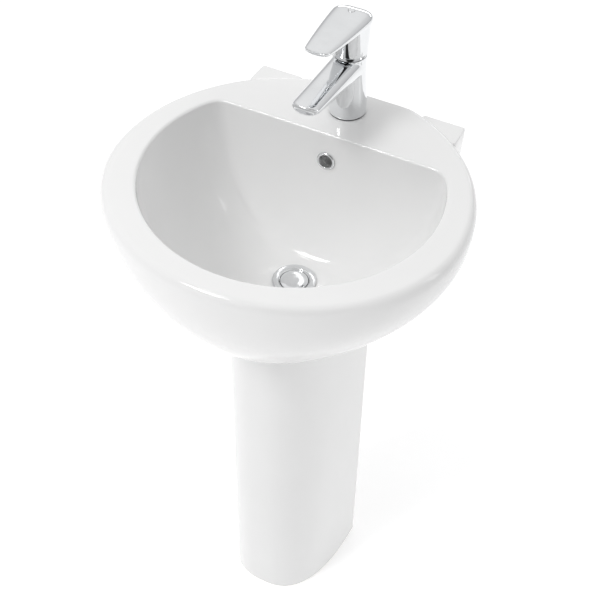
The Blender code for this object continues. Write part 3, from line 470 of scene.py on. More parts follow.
def basin_skin(sizes):
    """The basin's outer skin as rows: up the bowl, over the lip and land, round the rim, over the
    back corners, and down the underside to the boss."""
    angle = column_turns(sizes.columns)
    edge_round = RIM_Z - EDGE_Z
    rows = [level(ring_line(angle, radius), SEAT_Z) for radius in (0.0, 0.012, 0.024)]
    for turn in np.radians(np.linspace(90.0, 0.0, sizes.bowl_rows)):
        rows.append(level(*bowl_row(angle, turn)))
    lip = sizes.lip_round
    for swing in np.radians(np.linspace(80.0, 0.0, 8)):
        line = bowl_line(angle, lip * (1.0 - math.sin(swing)))
        rows.append(level(line, RIM_Z - (RIM_Z - MOUTH_Z) * (1.0 - math.cos(swing))))
    inner = bowl_line(angle, lip)
    outer = rim_line(angle, EDGE_INSET, WALL_EASE)
    for share in np.linspace(0.0, 1.0, 9)[1:-1]:
        rows.append(level(inner + share * (outer - inner), RIM_Z))
    edge = rim_line(angle)
    heading = edge - bowl_line(angle)
    heading /= np.linalg.norm(heading, axis=1, keepdims=True)
    reach = corner_reach(edge, heading, EDGE_Z)
    behind = np.clip(reach / 0.003, 0.0, 1.0)
    last = np.arcsin(1.0 - WALL_EASE / edge_round) * behind
    for share in np.linspace(0.0, 1.0, 12):
        swing = TAU / 4.0 + (last - TAU / 4.0) * share
        off = 1.0 - np.cos(swing)
        z = RIM_Z - edge_round * (1.0 - np.sin(swing))
        rows.append(level(rim_line(angle, EDGE_INSET * off, WALL_EASE * off), z))
    start = rows[-1][:, :2]
    top_z = rows[-1][:, 2]
    ear_round = np.minimum(0.0035, reach)
    tip_flat = edge + heading * (reach - ear_round)[:, None]
    for share in np.linspace(0.0, 1.0, 8)[1:]:
        rows.append(level(start + share * (tip_flat - start), top_z))
    for swing in np.radians((22.5, 45.0, 67.5, 90.0)):
        line = tip_flat + heading * (ear_round * math.sin(swing))[:, None]
        rows.append(level(line, top_z - ear_round * (1.0 - math.cos(swing))))
    low_z = top_z - ear_round
    rows.append(level(edge + heading * reach[:, None], (low_z + EDGE_Z) / 2.0))
    corner_foot = np.linspace(0.416, 0.444, 14)
    for step in np.unique(np.concatenate([np.linspace(0.0, 1.0, 40), corner_foot])):
        line, z = under_line(angle, float(step))
        line = line + heading * corner_reach(line, heading, z)[:, None]
        line[:, 1] = np.minimum(line[:, 1], BACK_Y)
        rows.append(level(line, z))
    for step in (1.12, 1.25, 1.4, 1.6, 1.8, 2.0):
        rows.append(level(*under_line(angle, step)))
    rows.append(level(ring_line(angle, 0.0), BOSS_TOP_Z))
    return sleeve(np.stack(rows))


def recess_loop(half, front, wall, z, corner=0.009):
    """A level rectangle with round corners, of 40 points."""
    turn = np.linspace(0.0, TAU, 40, endpoint=False) + TAU / 80.0
    c = np.cos(turn)
    s = np.sin(turn)
    x = np.sign(c) * (half - corner) + corner * c
    y = (front + wall) / 2.0 + np.sign(s) * ((wall - front) / 2.0 - corner) + corner * s
    return np.stack([x, y, 0.0 * x + z], axis=-1)


def recess_tool():
    """The hollow under the tap deck: level loops that follow the bowl's back wall down."""
    wall = BACK_Y - 0.012
    ceiling = RIM_Z - 0.020
    rows = []
    for turn in np.radians(np.linspace(14.0, 68.0, 16)):
        y, z = bowl_back(turn)
        z = min(z, ceiling)
        half = 0.138 - 0.052 * max(0.0, (ceiling - z) / 0.16) ** 1.5
        rows.append((half, y + 0.013, z))
    half, front, _ = rows[-1]
    front = max(WASTE_Y + 0.051, front - 0.004)
    rows.append((half, front, FOOT_Z - 0.004))
    rows.append((half, front, BOSS_Z - 0.02))
    loops = [recess_loop(half, front, wall, z) for half, front, z in rows]
    return sleeve(capped(np.stack(loops)))


def pipe_grid(path, radius, steps=32):
    """A round bar: circles of one radius square to a path in the middle plane, closed at both ends."""
    path = np.asarray(path, float)
    along = np.gradient(path, axis=0)
    along /= np.linalg.norm(along, axis=1, keepdims=True)
    side = np.array([1.0, 0.0, 0.0])
    up = np.cross(along, side)[:, None]
    turn = np.linspace(0.0, TAU, steps, endpoint=False)[None, :, None]
    return capped(path[:, None] + radius * (np.cos(turn) * side + np.sin(turn) * up))


def duct_path(first_turn):
    """Points behind the bowl's back wall, from the overflow down to the waste boss."""
    points = []
    for turn in np.linspace(first_turn, 76.0, 26):
        here = np.array(bowl_back(math.radians(turn)))
        ahead = np.array(bowl_back(math.radians(turn + 1.0)))
        along = (ahead - here) / np.linalg.norm(ahead - here)
        out = np.array([-along[1], along[0]])
        y, z = here + out * (0.015 + 0.004 * (turn / 76.0) ** 3)
        points.append((0.0, y, z))
    end = np.array([0.0, WASTE_Y + 0.019, SEAT_Z - 0.022])
    last = np.array(points[-1])
    for share in (0.25, 0.5, 0.75, 1.0):
        points.append(tuple(last + share * (end - last)))
    return points


def bar(radius, start, end, steps=64):
    """A round bar between two points."""
    span = Vector(end) - Vector(start)
    grid = around(solid_profile([(radius, 0.0), (radius, span.length)]), steps)
    return aimed(sleeve(grid), Vector(start), span)


def overflow_place():
    """The overflow's centre on the bowl's back wall, and the direction out of the wall."""
    share = (0.045 - (RIM_Z - MOUTH_Z)) / (MOUTH_Z - SEAT_Z)
    turn = math.asin(share ** (1.0 / BOWL_POWER))
    here = Vector((0.0, *bowl_back(turn)))
    ahead = Vector((0.0, *bowl_back(turn + 0.02)))
    along = (ahead - here).normalized()
    return here, Vector((0.0, along.z, -along.y))


def under_table():
    """Reach of the underside from a middle point, by step and by compass turn, for height look-ups."""
    angle = np.linspace(0.0, TAU, 1441)
    centre = np.array([0.0, WASTE_Y - 0.01])
    steps = np.linspace(0.0, 2.0, 161)
    compass = np.linspace(-math.pi, math.pi, 721)
    reach = []
    heights = []
    for step in steps:
        line, z = under_line(angle, float(step))
        off = line - centre
        polar = np.arctan2(off[:, 1], off[:, 0])
        order = np.argsort(polar)
        reach.append(np.interp(compass, polar[order], np.hypot(off[:, 0], off[:, 1])[order], period=TAU))
        heights.append(z)
    return centre, compass, np.array(reach), np.array(heights)


UNDER = under_table()


def bed_z(points):
    """Height of the bedding line over plan points: the underside's height, level behind y = 45 mm."""
    centre, compass, reach, heights = UNDER
    x = points[:, 0]
    y = np.minimum(points[:, 1], 0.045)
    radius = np.hypot(x - centre[0], y - centre[1])
    polar = np.arctan2(y - centre[1], x - centre[0])
    table = np.stack([np.interp(polar, compass, row) for row in reach])
    inside = (table > radius).sum(axis=0)
    low = np.clip(inside - 1, 0, len(heights) - 2)
    spot = np.arange(len(radius))
    a = table[low, spot]
    b = table[low + 1, spot]
    share = np.clip((a - radius) / np.maximum(a - b, 1e-9), 0.0, 1.0)
    return heights[low] + share * (heights[low + 1] - heights[low])


def pedestal_line(share, height, inset):
    """The pedestal's open plan: share runs from -1 at one back edge to 1 at the other."""
    angle = 1.5 * math.pi + 0.5 * math.pi * np.sign(share) * (1.0 - (1.0 - np.abs(share)) ** 1.3)
    half = 0.095 - 0.0025 * height
    front = -0.1025 + 0.009 * height
    back = 0.0765 + 0.018 * height
    return u_line(angle, half - inset, front + inset, back)

def u_wall(levels, wall, end_round):
    """A U-shaped wall as one closed loop carried up: outer line, rounded end, inner line, rounded end.
    levels are (height share, inset, z or None for the bedding line, clearance)."""
    share = np.linspace(-1.0, 1.0, WALL_STEPS)
    turn = np.linspace(0.0, math.pi, END_STEPS + 2)[1:-1]
    rows = []
    for height, inset, z, clearance in levels:
        outer = pedestal_line(share, height, inset)
        inner = pedestal_line(share, height, wall - inset)[::-1]
        middle = (outer[-1] + inner[0]) / 2.0
        half = np.linalg.norm(outer[-1] - inner[0]) / 2.0
        depth = min(end_round, half)
        cap = np.stack([middle[0] + half * np.cos(turn), middle[1] - depth + depth * np.sin(turn)], axis=-1)
        outer[:, 1] = np.minimum(outer[:, 1], middle[1] - depth)
        inner[:, 1] = np.minimum(inner[:, 1], middle[1] - depth)
        other = cap[::-1] * np.array([-1.0, 1.0])
        loop = np.concatenate([outer, cap, inner, other])
        top = bed_z(loop) - clearance if z is None else np.full(len(loop), z)
        rows.append(level(loop, top))
    return np.stack(rows)


def wall_skins(grid):
    """Skins of a U-shaped wall: its sides, and a floor and a top that join the outer line to the inner."""
    skins = [(grid, False, True)]
    second = WALL_STEPS + END_STEPS
    for row in (grid[0], grid[-1]):
        total = len(row)
        outer = row[:WALL_STEPS]
        inner = row[second : second + WALL_STEPS][::-1]
        shares = np.linspace(0.0, 1.0, 4)[:, None, None]
        skins.append((outer[None] + shares * (inner - outer)[None], False, False))
        for first in (WALL_STEPS - 1, total - END_STEPS - 1):
            cap = row[np.arange(first, first + END_STEPS + 2) % total]
            hub = (cap[0] + cap[-1]) / 2.0
            skins.append((np.stack([cap, hub + 0.0 * cap]), False, False))
    return skins


# ------------------------------------------------------------------ tap surfaces
def superellipse(steps, side_power, above, above_power, below, below_power):
    """A section's x share and its height: powers of the turn's cosine and sine, apart above and below."""
    turn = np.linspace(0.0, TAU, steps, endpoint=False)[None, :]
    c = np.cos(turn)
    s = np.sin(turn)
    height = np.where(s > 0.0, above * np.abs(s) ** above_power, -below * np.abs(s) ** below_power)
    return np.sign(c) * np.abs(c) ** side_power, height


def nose_soft(reach, reach_end, length, loss):
    """How a section shrinks along the rounded nose: a quarter circle of the distance into it."""
    trim = np.clip((reach - (reach_end - length)) / length, 0.0, 1.0)
    return 1.0 - loss * (1.0 - np.sqrt(np.maximum(1.0 - trim**2, 0.0)))


def spout_grid(reach_end):
    """The spout: superellipse sections that narrow, thin and rise along the reach, ending in a bowed face."""
    tail = np.linspace(0.0, reach_end - 0.010, 70)
    nose = reach_end - 0.010 + 0.010 * np.sin(np.linspace(0.0, TAU / 4.0, 14)[1:])
    reach = np.concatenate([tail, nose])[:, None]
    share = reach / reach_end
    soft = nose_soft(reach, reach_end, 0.010, 0.20)
    above = (0.0185 - 0.0115 * share) * soft
    below = (0.0140 - 0.0080 * share) * soft
    x_share, height = superellipse(96, 0.62, above, 0.85, below, 0.95)
    x = (0.0235 - 0.0040 * share) * soft * x_share
    tip = np.clip((reach - reach_end * 0.8) / (reach_end * 0.2), 0.0, 1.0)
    y = -reach + 0.0045 * tip * x_share**2
    return capped(np.stack([x, y, SPOUT_Z + SPOUT_RISE * share + height], axis=-1))


def lever_grid(reach_end):
    """The lever's plate: a round head that runs out into a narrowing blade, crowned above and flat below."""
    head = 0.029
    back = -head * np.cos(np.linspace(0.12, TAU / 4.0, 26))
    ahead = np.linspace(0.0, reach_end - 0.006, 60)[1:]
    nose = reach_end - 0.006 + 0.006 * np.sin(np.linspace(0.0, TAU / 4.0, 10)[1:])
    reach = np.concatenate([back, ahead, nose])[:, None]
    share = np.maximum(reach / reach_end, 0.0)
    behind = np.maximum(-reach / head, 0.0)
    disc = np.sqrt(np.maximum(head**2 - reach**2, 0.0))
    soft = nose_soft(reach, reach_end, 0.006, 0.16)
    half = np.where(reach < 0.0, disc, head - 0.0117 * share**1.3)
    crown = (0.0105 - 0.0070 * share) * np.sqrt(np.maximum(1.0 - behind**2, 0.0)) * soft
    under = (0.0060 - 0.0030 * share) * soft
    x_share, height = superellipse(120, 0.55, crown, 0.85, under, 0.45)
    x = half * soft * x_share
    tip = np.clip((reach - 0.7 * reach_end) / (0.3 * reach_end), 0.0, 1.0)
    y = -reach + 0.004 * tip * (x / half) ** 2
    return capped(np.stack([x, y, 0.1485 + 0.0055 * share - 0.0070 * behind**2 + height], axis=-1))


def aerator_place(reach_end):
    """The aerator in the spout: its distance out from the column's axis, and its height over the deck."""
    out = reach_end - 0.017
    return out, SPOUT_Z + SPOUT_RISE * out / reach_end - 0.0035


# ------------------------------------------------------------------ shader groups
def fill(tree, node, inputs):
    """Sets a node's inputs: each is a value, or another node's output to link."""
    for label, value in inputs.items():
        if isinstance(value, bpy.types.NodeSocket):
            tree.links.new(value, node.inputs[label])
        else:
            node.inputs[label].default_value = value


def add(tree, kind, inputs=None, **settings):
    """A new shader node with its settings and inputs."""
    node = tree.nodes.new("ShaderNode" + kind)
    for label, value in settings.items():
        setattr(node, label, value)
    fill(tree, node, inputs or {})
    return node


def new_group(name, inputs, output, kind):
    """An empty shader group with its input defaults and one output."""
    tree = bpy.data.node_groups.new(name, "ShaderNodeTree")
    for label, default in inputs.items():
        socket_type = "NodeSocketVector" if isinstance(default, tuple) else "NodeSocketFloat"
        socket = tree.interface.new_socket(label, in_out="INPUT", socket_type=socket_type)
        socket.default_value = default
    tree.interface.new_socket(output, in_out="OUTPUT", socket_type=kind)
    return tree, tree.nodes.new("NodeGroupInput").outputs, tree.nodes.new("NodeGroupOutput")


def drift_group():
    """A value that drifts slowly between two limits over the surface."""
    if "slow_drift" in bpy.data.node_groups:
        return bpy.data.node_groups["slow_drift"]
    limits = {"Scale": 8.0, "Low": 0.0, "High": 1.0}
    tree, taken, given = new_group("slow_drift", limits, "Value", "NodeSocketFloat")
    place = add(tree, "TexCoord").outputs["Object"]
    grain = {"Scale": taken["Scale"], "Detail": 4.0, "Roughness": 0.55}
    noise = add(tree, "TexNoise", {"Vector": place, **grain})
    reach = {"From Min": 0.32, "From Max": 0.68, "To Min": taken["Low"], "To Max": taken["High"]}
    spread = add(tree, "MapRange", {"Value": noise.outputs["Fac"], **reach})
    fill(tree, given, {"Value": spread.outputs["Result"]})
    return tree


def relief_group():
    """A fine surface relief: a coarse wave and a fine grain, given as a bumped normal."""
    if "fine_relief" in bpy.data.node_groups:
        return bpy.data.node_groups["fine_relief"]
    values = {"Wave scale": 40.0, "Grain scale": 900.0, "Grain share": 0.2}
    values.update({"Stretch": (1.0, 1.0, 1.0), "Strength": 0.1, "Depth": 0.0002})
    tree, taken, given = new_group("fine_relief", values, "Normal", "NodeSocketVector")
    place = add(tree, "TexCoord").outputs["Object"]
    pull = add(tree, "VectorMath", {0: place, 1: taken["Stretch"]}, operation="MULTIPLY").outputs["Vector"]
    wave = add(tree, "TexNoise", {"Vector": pull, "Scale": taken["Wave scale"], "Detail": 2.0})
    grain = add(tree, "TexNoise", {"Vector": pull, "Scale": taken["Grain scale"], "Detail": 3.0})
    parts = {"Factor": taken["Grain share"], "A": wave.outputs["Fac"], "B": grain.outputs["Fac"]}
    height = add(tree, "Mix", parts).outputs["Result"]
    bump = add(tree, "Bump", {"Height": height, "Strength": taken["Strength"], "Distance": taken["Depth"]})
    fill(tree, given, {"Normal": bump.outputs["Normal"]})
    return tree


# ------------------------------------------------------------------ materials
def shader_of(name):
    """A new material, its node tree and its Principled shader."""
    made = bpy.data.materials.new(name)
    made.use_nodes = True
    return made, made.node_tree, made.node_tree.nodes["Principled BSDF"]


def drift(tree, scale, low=0.0, high=1.0):
    """A value that drifts between two limits."""
    return add(tree, "Group", {"Scale": scale, "Low": low, "High": high}, node_tree=drift_group()).outputs[0]


def mixed(tree, share, a, b):
    """A colour between two others."""
    return add(tree, "Mix", {"Factor": share, "A": a, "B": b}, data_type="RGBA").outputs["Result"]


def tone(tree, dark, light, scale):
    """A colour that drifts between two close tones."""
    return mixed(tree, drift(tree, scale), (*dark, 1.0), (*light, 1.0))


def relief(tree, wave, grain, share, strength, depth, stretch=(1.0, 1.0, 1.0)):
    """A bumped normal from the relief group."""
    values = {"Wave scale": wave, "Grain scale": grain, "Grain share": share}
    values.update({"Stretch": stretch, "Strength": strength, "Depth": depth})
    return add(tree, "Group", values, node_tree=relief_group()).outputs["Normal"]


def tones(label, *shares):
    """A colour of the sidebar's finishes made darker or lighter, once for each share."""
    colour = getattr(bpy.context.scene.basin_finishes, label)
    return [tuple(min(1.0, value * share) for value in colour) for share in shares]


def ceramic_material(name, axis, low, high):
    """White glaze with a faint ripple and tone drift, and bare clay where the piece stands or meets the
    wall: the clay shows past the second of two planes across an axis."""
    made, tree, shader = shader_of(name)
    place = add(tree, "TexCoord").outputs["Object"]
    along = add(tree, "SeparateXYZ", {"Vector": place}).outputs[axis]
    bare = add(tree, "MapRange", {"Value": along, "From Min": low, "From Max": high}).outputs["Result"]
    coat = tone(tree, *tones("glaze", 0.985, 1.01), 5.0)
    rough = add(tree, "Mix", {"Factor": bare, "A": drift(tree, 14.0, 0.045, 0.085), "B": 0.72})
    fill(
        tree,
        shader,
        {
            "Base Color": mixed(tree, bare, coat, (*tones("biscuit", 1.0)[0], 1.0)),
            "Roughness": rough.outputs["Result"],
            "IOR": 1.52,
            "Normal": relief(tree, 26.0, 420.0, 0.06, 0.10, 0.0006),
        },
    )
    return made


def surface(name, colours, tone_scale, gloss, bump, metallic=0.0):
    """A material: two close tones, an uneven dullness and a bumped normal."""
    made, tree, shader = shader_of(name)
    fill(
        tree,
        shader,
        {
            "Base Color": tone(tree, *colours, tone_scale),
            "Roughness": drift(tree, *gloss),
            "Metallic": metallic,
            "Normal": relief(tree, *bump),
        },
    )
    return made


def chrome_material(name):
    """Polished chrome with a faint haze and the casting's slow waviness."""
    waves = (60.0, 2400.0, 0.10, 0.06, 0.0002)
    return surface(name, tones("chrome", 0.97, 1.02), 30.0, (55.0, 0.035, 0.075), waves, 1.0)


def metal_material(name, label, low, high, lines):
    """Machined metal: fine lines from the tool, and a drifting dullness."""
    cuts = (500.0, 2600.0, 0.5, 0.25, 0.0001, (1.0, 1.0, lines))
    return surface(name, tones(label, 0.84, 1.06), 90.0, (160.0, low, high), cuts, 1.0)


def soft_material(name, dark, light, low, high, grain, strength):
    """Rubber, sealant or plastic: a moulded grain and an uneven dullness."""
    return surface(name, (dark, light), 120.0, (200.0, low, high), (180.0, grain, 0.6, strength, 0.0002))


FINISHES = {
    "basin_glaze": ("glazed_ceramic", ceramic_material, "basin_glaze", "Y", BACK_Y - 0.0018, BACK_Y - 0.0006),
    "pedestal_glaze": ("glazed_ceramic", ceramic_material, "pedestal_glaze", "Z", 0.0022, 0.0010),
    "chrome": ("chrome", chrome_material, "chrome_plate"),
    "brass": ("brass", metal_material, "turned_brass", "brass", 0.22, 0.38, 9.0),
    "steel": ("steel", metal_material, "zinc_steel", "steel", 0.24, 0.42, 6.0),
    "rubber": (
        "black_rubber", soft_material, "black_rubber",
        (0.020, 0.020, 0.021), (0.045, 0.045, 0.046), 0.50, 0.78, 2200.0, 0.35,
    ),
    "sealant": (
        "white_sealant", soft_material, "white_silicone",
        (0.80, 0.80, 0.77), (0.90, 0.90, 0.88), 0.25, 0.45, 700.0, 0.20,
    ),
    "white_plastic": (
        "white_plastic", soft_material, "white_nylon",
        (0.78, 0.79, 0.80), (0.88, 0.89, 0.90), 0.30, 0.48, 1600.0, 0.22,
    ),
    "grey_plastic": (
        "grey_plastic", soft_material, "grey_acetal",
        (0.17, 0.175, 0.185), (0.26, 0.265, 0.275), 0.35, 0.55, 1600.0, 0.25,
    ),
}
MADE = {}


def finish_of(key):
    """A finish's material, made the first time that it is asked for."""
    if key not in MADE:
        _, maker, name, *values = FINISHES[key]
        MADE[key] = maker(name, *values)
    return MADE[key]


def coated(made, finish):
    """Gives an object its finish."""
    made.data.materials.clear()
    made.data.materials.append(finish_of(finish))


def stand_in(node, mesh, finish, body=FIXED):
    """The finished piece that stands for a CAD node of the same name, on the body that carries it."""
    made = linked(node + "_fine", mesh)
    mesh.name = made.name
    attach(made, body)
    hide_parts(node)
    coated(made, finish)


# ------------------------------------------------------------------ operators
class MakeBasin(bpy.types.Operator):
    """Glazed basin: bowl, rim, back corners, overflow duct, waste boss and holes"""

    bl_idname = "basin.make_basin"
    bl_label = "Basin"

    def execute(self, context):
        skin = basin_skin(context.scene.basin_sizes)
        duct = sleeve(pipe_grid(duct_path(6.0), 0.0125))
        boss = solid_profile([(0.040, BOSS_Z), (0.041, BOSS_Z + 0.001), (0.041, SEAT_Z - 0.006)])
        steps = [
            ("DIFFERENCE", recess_tool()),
            ("UNION", duct),
            ("UNION", sleeve(around(boss, 96, WASTE_AT))),
            ("DIFFERENCE", sleeve(pipe_grid(duct_path(11.0), 0.0075))),
        ]
        centre, out = overflow_place()
        holes = [
            (0.0115, centre + out * 0.012, centre - out * 0.017, 64),
            (0.0230, (*WASTE_AT, BOSS_Z - 0.01), (*WASTE_AT, SEAT_Z + 0.01), 96),
            (0.0175, (*TAP_AT, RIM_Z - 0.04), (*TAP_AT, RIM_Z + 0.01), 64),
        ]
        for x in (-WALL_HOLE_X, WALL_HOLE_X):
            holes.append((0.008, (x, BACK_Y - 0.03, WALL_HOLE_Z), (x, BACK_Y + 0.01, WALL_HOLE_Z), 40))
        steps += [("DIFFERENCE", bar(*hole)) for hole in holes]
        stand_in("basin", carved(skin, steps, 28.0), "basin_glaze")
        return {"FINISHED"}


class MakePedestal(bpy.types.Operator):
    """Hollow glazed pedestal, open at the back, and the sealant bead on its top edge"""

    bl_idname = "basin.make_pedestal"
    bl_label = "Pedestal"

    def execute(self, context):
        sizes = context.scene.pedestal_sizes
        edge = sizes.foot_round
        ramp = []
        for swing in np.radians((0.0, 22.5, 45.0, 67.5, 90.0)):
            z = edge * (1.0 - math.cos(swing))
            ramp.append((z / PEDESTAL_SPAN, edge * (1.0 - math.sin(swing)), z, 0.0))
        for share in np.linspace(0.02, 0.93, 26):
            ramp.append((share, 0.0, PEDESTAL_SPAN * share, 0.0))
        for clearance, inset in ((0.0054, 0.0), (0.0038, 0.0), (0.0030, 0.0005), (0.0026, 0.0014)):
            ramp.append((1.0, inset, None, clearance))
        wall = u_wall(ramp, sizes.wall, 0.006)
        stand_in("pedestal", mesh_of(wall_skins(wall)), "pedestal_glaze")
        bead = []
        insets = (0.0020, 0.0013, 0.0011, 0.0013, 0.0020)
        for clearance, inset in zip((0.0023, 0.0020, 0.0015, 0.0010, 0.0007), insets):
            bead.append((1.0, inset, None, clearance))
        seal = u_wall(bead, sizes.wall, 0.004)
        stand_in("joint_seal", mesh_of(wall_skins(seal)), "sealant")
        return {"FINISHED"}


class MakeTapBody(bpy.types.Operator):
    """Cast tap body: tapering column, spout, cartridge chamber and aerator pocket"""

    bl_idname = "basin.make_tap_body"
    bl_label = "Tap body"

    def execute(self, context):
        sizes = context.scene.tap_sizes
        base = sizes.base_radius
        heights = (0.0023, 0.018, 0.035, 0.052, 0.066, 0.0945)
        height = np.linspace(heights[0], heights[-1], 60)
        radius = np.interp(height, heights, (base, base, 0.0258, 0.0247, 0.0240, 0.0240))
        radius = np.convolve(np.pad(radius, 4, mode="edge"), np.ones(9) / 9.0, mode="valid")
        column = around(solid_profile([(base - 0.0008, 0.0015), *zip(radius, height)]), 128)
        spout = spout_grid(sizes.spout_reach)
        shell = fused(mesh_of([(column, False, True), (spout, False, True)]), 0.0008, 10)
        moved(shell, *TAP_AT, RIM_Z)
        out, up = aerator_place(sizes.spout_reach)
        inlet = [(0.0053, 0.010), (0.0053, 0.028), (0.0030, 0.0281), (0.0030, 0.036)]
        cuts = [
            ([(0.0262, 0.0945), (0.0262, 0.120)], 0.0, 0.0, 0.0),
            ([(0.0175, 0.034), (0.0175, 0.0827), (0.0195, 0.0828), (0.0195, 0.0950)], 0.0, 0.0, 0.0),
            ([(0.0225, -0.01), (0.0225, 0.020)], 0.0, 0.0, 0.0),
            ([(0.0112, -0.020), (0.0112, 0.008)], 0.0, -out, up),
            (inlet, -INLET_X, INLET_Y, 0.0),
            (inlet, INLET_X, INLET_Y, 0.0),
            ([(0.0043, 0.010), (0.0043, 0.030)], 0.0, STUD_Y - TAP_Y, 0.0),
        ]
        steps = [drill(profile, 64, (x, TAP_Y + y), RIM_Z + z) for profile, x, y, z in cuts]
        stand_in("tap_body", carved(shell, steps, 35.0), "chrome")
        return {"FINISHED"}


class MakeTapTrim(bpy.types.Operator):
    """Trim dome under the lever, base seal and the spout's aerator housing"""

    bl_idname = "basin.make_tap_trim"
    bl_label = "Tap trim"

    def execute(self, context):
        arcs = []
        for radius, first, last, count in ((0.0250, 21.0, 50.0, 16), (0.0217, 44.0, 26.0, 10)):
            swing = np.radians(np.linspace(first, last, count))
            arcs.append(np.stack([radius * np.cos(swing), 0.086 + radius * np.sin(swing)], axis=-1))
        dome = sleeve(around(np.concatenate(arcs), 128, TAP_AT, RIM_Z), True)
        stand_in("cartridge_dome", dome, "chrome")
        seal = [(0.0195, 0.0003), (0.0255, 0.0003), (0.0255, 0.0012), (0.0195, 0.0012)]
        stand_in("tap_base_seal", turned(seal, 128, TAP_AT, RIM_Z, 0.0003), "rubber")
        out, up = aerator_place(context.scene.tap_sizes.spout_reach)
        housing = [(0.0100, -0.0045), (0.0108, -0.0038), (0.0108, 0.0055)]
        housing += [(0.0088, 0.0055), (0.0088, -0.0045)]
        mesh = turned(housing, 96, (0.0, TAP_Y - out), RIM_Z + up, 0.0003)
        stand_in("aerator_housing", mesh, "chrome")
        return {"FINISHED"}


class MakeLever(bpy.types.Operator):
    """Lever blade with its hub and sockets, and its blank cap"""

    bl_idname = "basin.make_lever"
    bl_label = "Lever"

    def execute(self, context):
        plate = lever_grid(context.scene.tap_sizes.lever_reach) + (*TAP_AT, RIM_Z)
        hub = solid_profile([(0.0250, 0.100), (0.0253, 0.1006), (0.0275, 0.1450), (0.0240, 0.1500)])
        hub = around(hub, 128, TAP_AT, RIM_Z)
        shell = fused(mesh_of([(plate, False, True), (hub, False, True)]), 0.0007, 5)
        swing = np.radians(np.linspace(0.0, 85.0, 24))
        ball = np.stack([0.0258 * np.cos(swing), 0.0258 * np.sin(swing)], axis=-1)
        socket = [(0.0043, 0.0100), (0.0043, 0.0500), (0.0023, 0.0501), (0.0023, 0.0600)]
        socket += [(0.0048, 0.0601), (0.0048, 0.0850)]
        steps = [drill(profile, 96, TAP_AT, PIVOT_Z) for profile in (ball, socket)]
        stand_in("lever", carved(shell, steps, 35.0), "chrome", "lever_set")
        cap = solid_profile([(0.0045, 0.0665), (0.0045, 0.0731), (0.0038, 0.0736)])
        cap = turned(cap, 64, TAP_AT, PIVOT_Z, 0.0003, False)
        stand_in("lever_cap", cap, "chrome", "lever_set")
        return {"FINISHED"}


class MakeClamp(bpy.types.Operator):
    """Threaded stud, nut and hose inlets under the tap"""

    bl_idname = "basin.make_clamp"
    bl_label = "Tap clamp"

    def execute(self, context):
        deck = RIM_Z - 0.020
        stud = screw_rod(0.004, -0.0400, 0.0480, 0.00125, 0.0004)
        stand_in("tap_stud", moved(stud, 0.0, STUD_Y, deck), "steel")
        nut = hex_piece(0.013, 0.0044, -0.0130, -0.0066)
        stand_in("tap_stud_nut", moved(nut, 0.0, STUD_Y, deck), "brass")
        for name, x in (("hot_inlet", -INLET_X), ("cold_inlet", INLET_X)):
            inlet = screw_rod(0.005, -0.0420, 0.0275, 0.001, 0.00035, 48, 0.0025)
            stand_in(name, moved(inlet, x, TAP_Y + INLET_Y, RIM_Z), "brass")
        return {"FINISHED"}


class MakeOverflow(bpy.types.Operator):
    """Chrome ring round the overflow hole"""

    bl_idname = "basin.make_overflow"
    bl_label = "Overflow ring"

    def execute(self, context):
        profile = [(0.0112, -0.0060), (0.0112, 0.0009), (0.0135, 0.0009), (0.0135, 0.0018)]
        profile += [(0.0122, 0.0029), (0.0100, 0.0024), (0.0098, -0.0060)]
        ring = turned(profile, 128, radius=0.0006)
        stand_in("overflow_ring", aimed(ring, *overflow_place()), "chrome")
        return {"FINISHED"}


class MakeWaste(bpy.types.Operator):
    """Waste flange, plug and the tail with its nut and lower seal"""

    bl_idname = "basin.make_waste"
    bl_label = "Waste and plug"

    def execute(self, context):
        tail_z = 0.5620
        flange = [(0.0212, tail_z), (0.0212, SEAT_Z + 0.0012), (0.0315, SEAT_Z + 0.0012)]
        flange += [(0.0322, SEAT_Z + 0.0020), (0.0300, SEAT_Z + 0.0032), (0.0232, SEAT_Z + 0.0030)]
        flange += [(0.0190, SEAT_Z - 0.0040), (0.0180, SEAT_Z - 0.0060), (0.0180, tail_z)]
        body = turned(flange, 128, WASTE_AT, 0.0, 0.0007)
        slots = []
        for low, high in ((0.010, 0.030), (-0.030, -0.010)):
            plan = np.array([(-0.005, low), (0.005, low), (0.005, high), (-0.005, high)]) + WASTE_AT
            box = np.stack([level(plan, 0.614), level(plan, 0.630)])
            slots.append(("DIFFERENCE", sleeve(capped(box))))
        stand_in("waste_body", carved(body, slots), "chrome")
        plug = [(0.0060, -0.0085), (0.0150, -0.0080), (0.0150, -0.0058), (0.0196, -0.0016)]
        plug += [(0.0205, 0.0008), (0.0200, 0.0020), (0.0150, 0.0027), (0.0080, 0.0030)]
        cap = turned(solid_profile(plug), 128, WASTE_AT, SEAT_Z, 0.0006, False)
        hole = drill([(0.0033, -0.02), (0.0033, -0.0030)], 40, WASTE_AT, SEAT_Z)
        stand_in("plug", carved(cap, [hole]), "chrome", "plug_set")
        seal = [(0.0215, -0.0080), (0.0330, -0.0080), (0.0300, -0.0003), (0.0215, -0.0003)]
        seal = turned(seal, 96, WASTE_AT, BOSS_Z, 0.0008)
        stand_in("waste_lower_seal", seal, "rubber")
        nut = hex_piece(0.056, 0.0216, BOSS_Z - 0.0180, BOSS_Z - 0.0083, 144)
        stand_in("waste_back_nut", moved(nut, *WASTE_AT, 0.0), "brass")
        return {"FINISHED"}


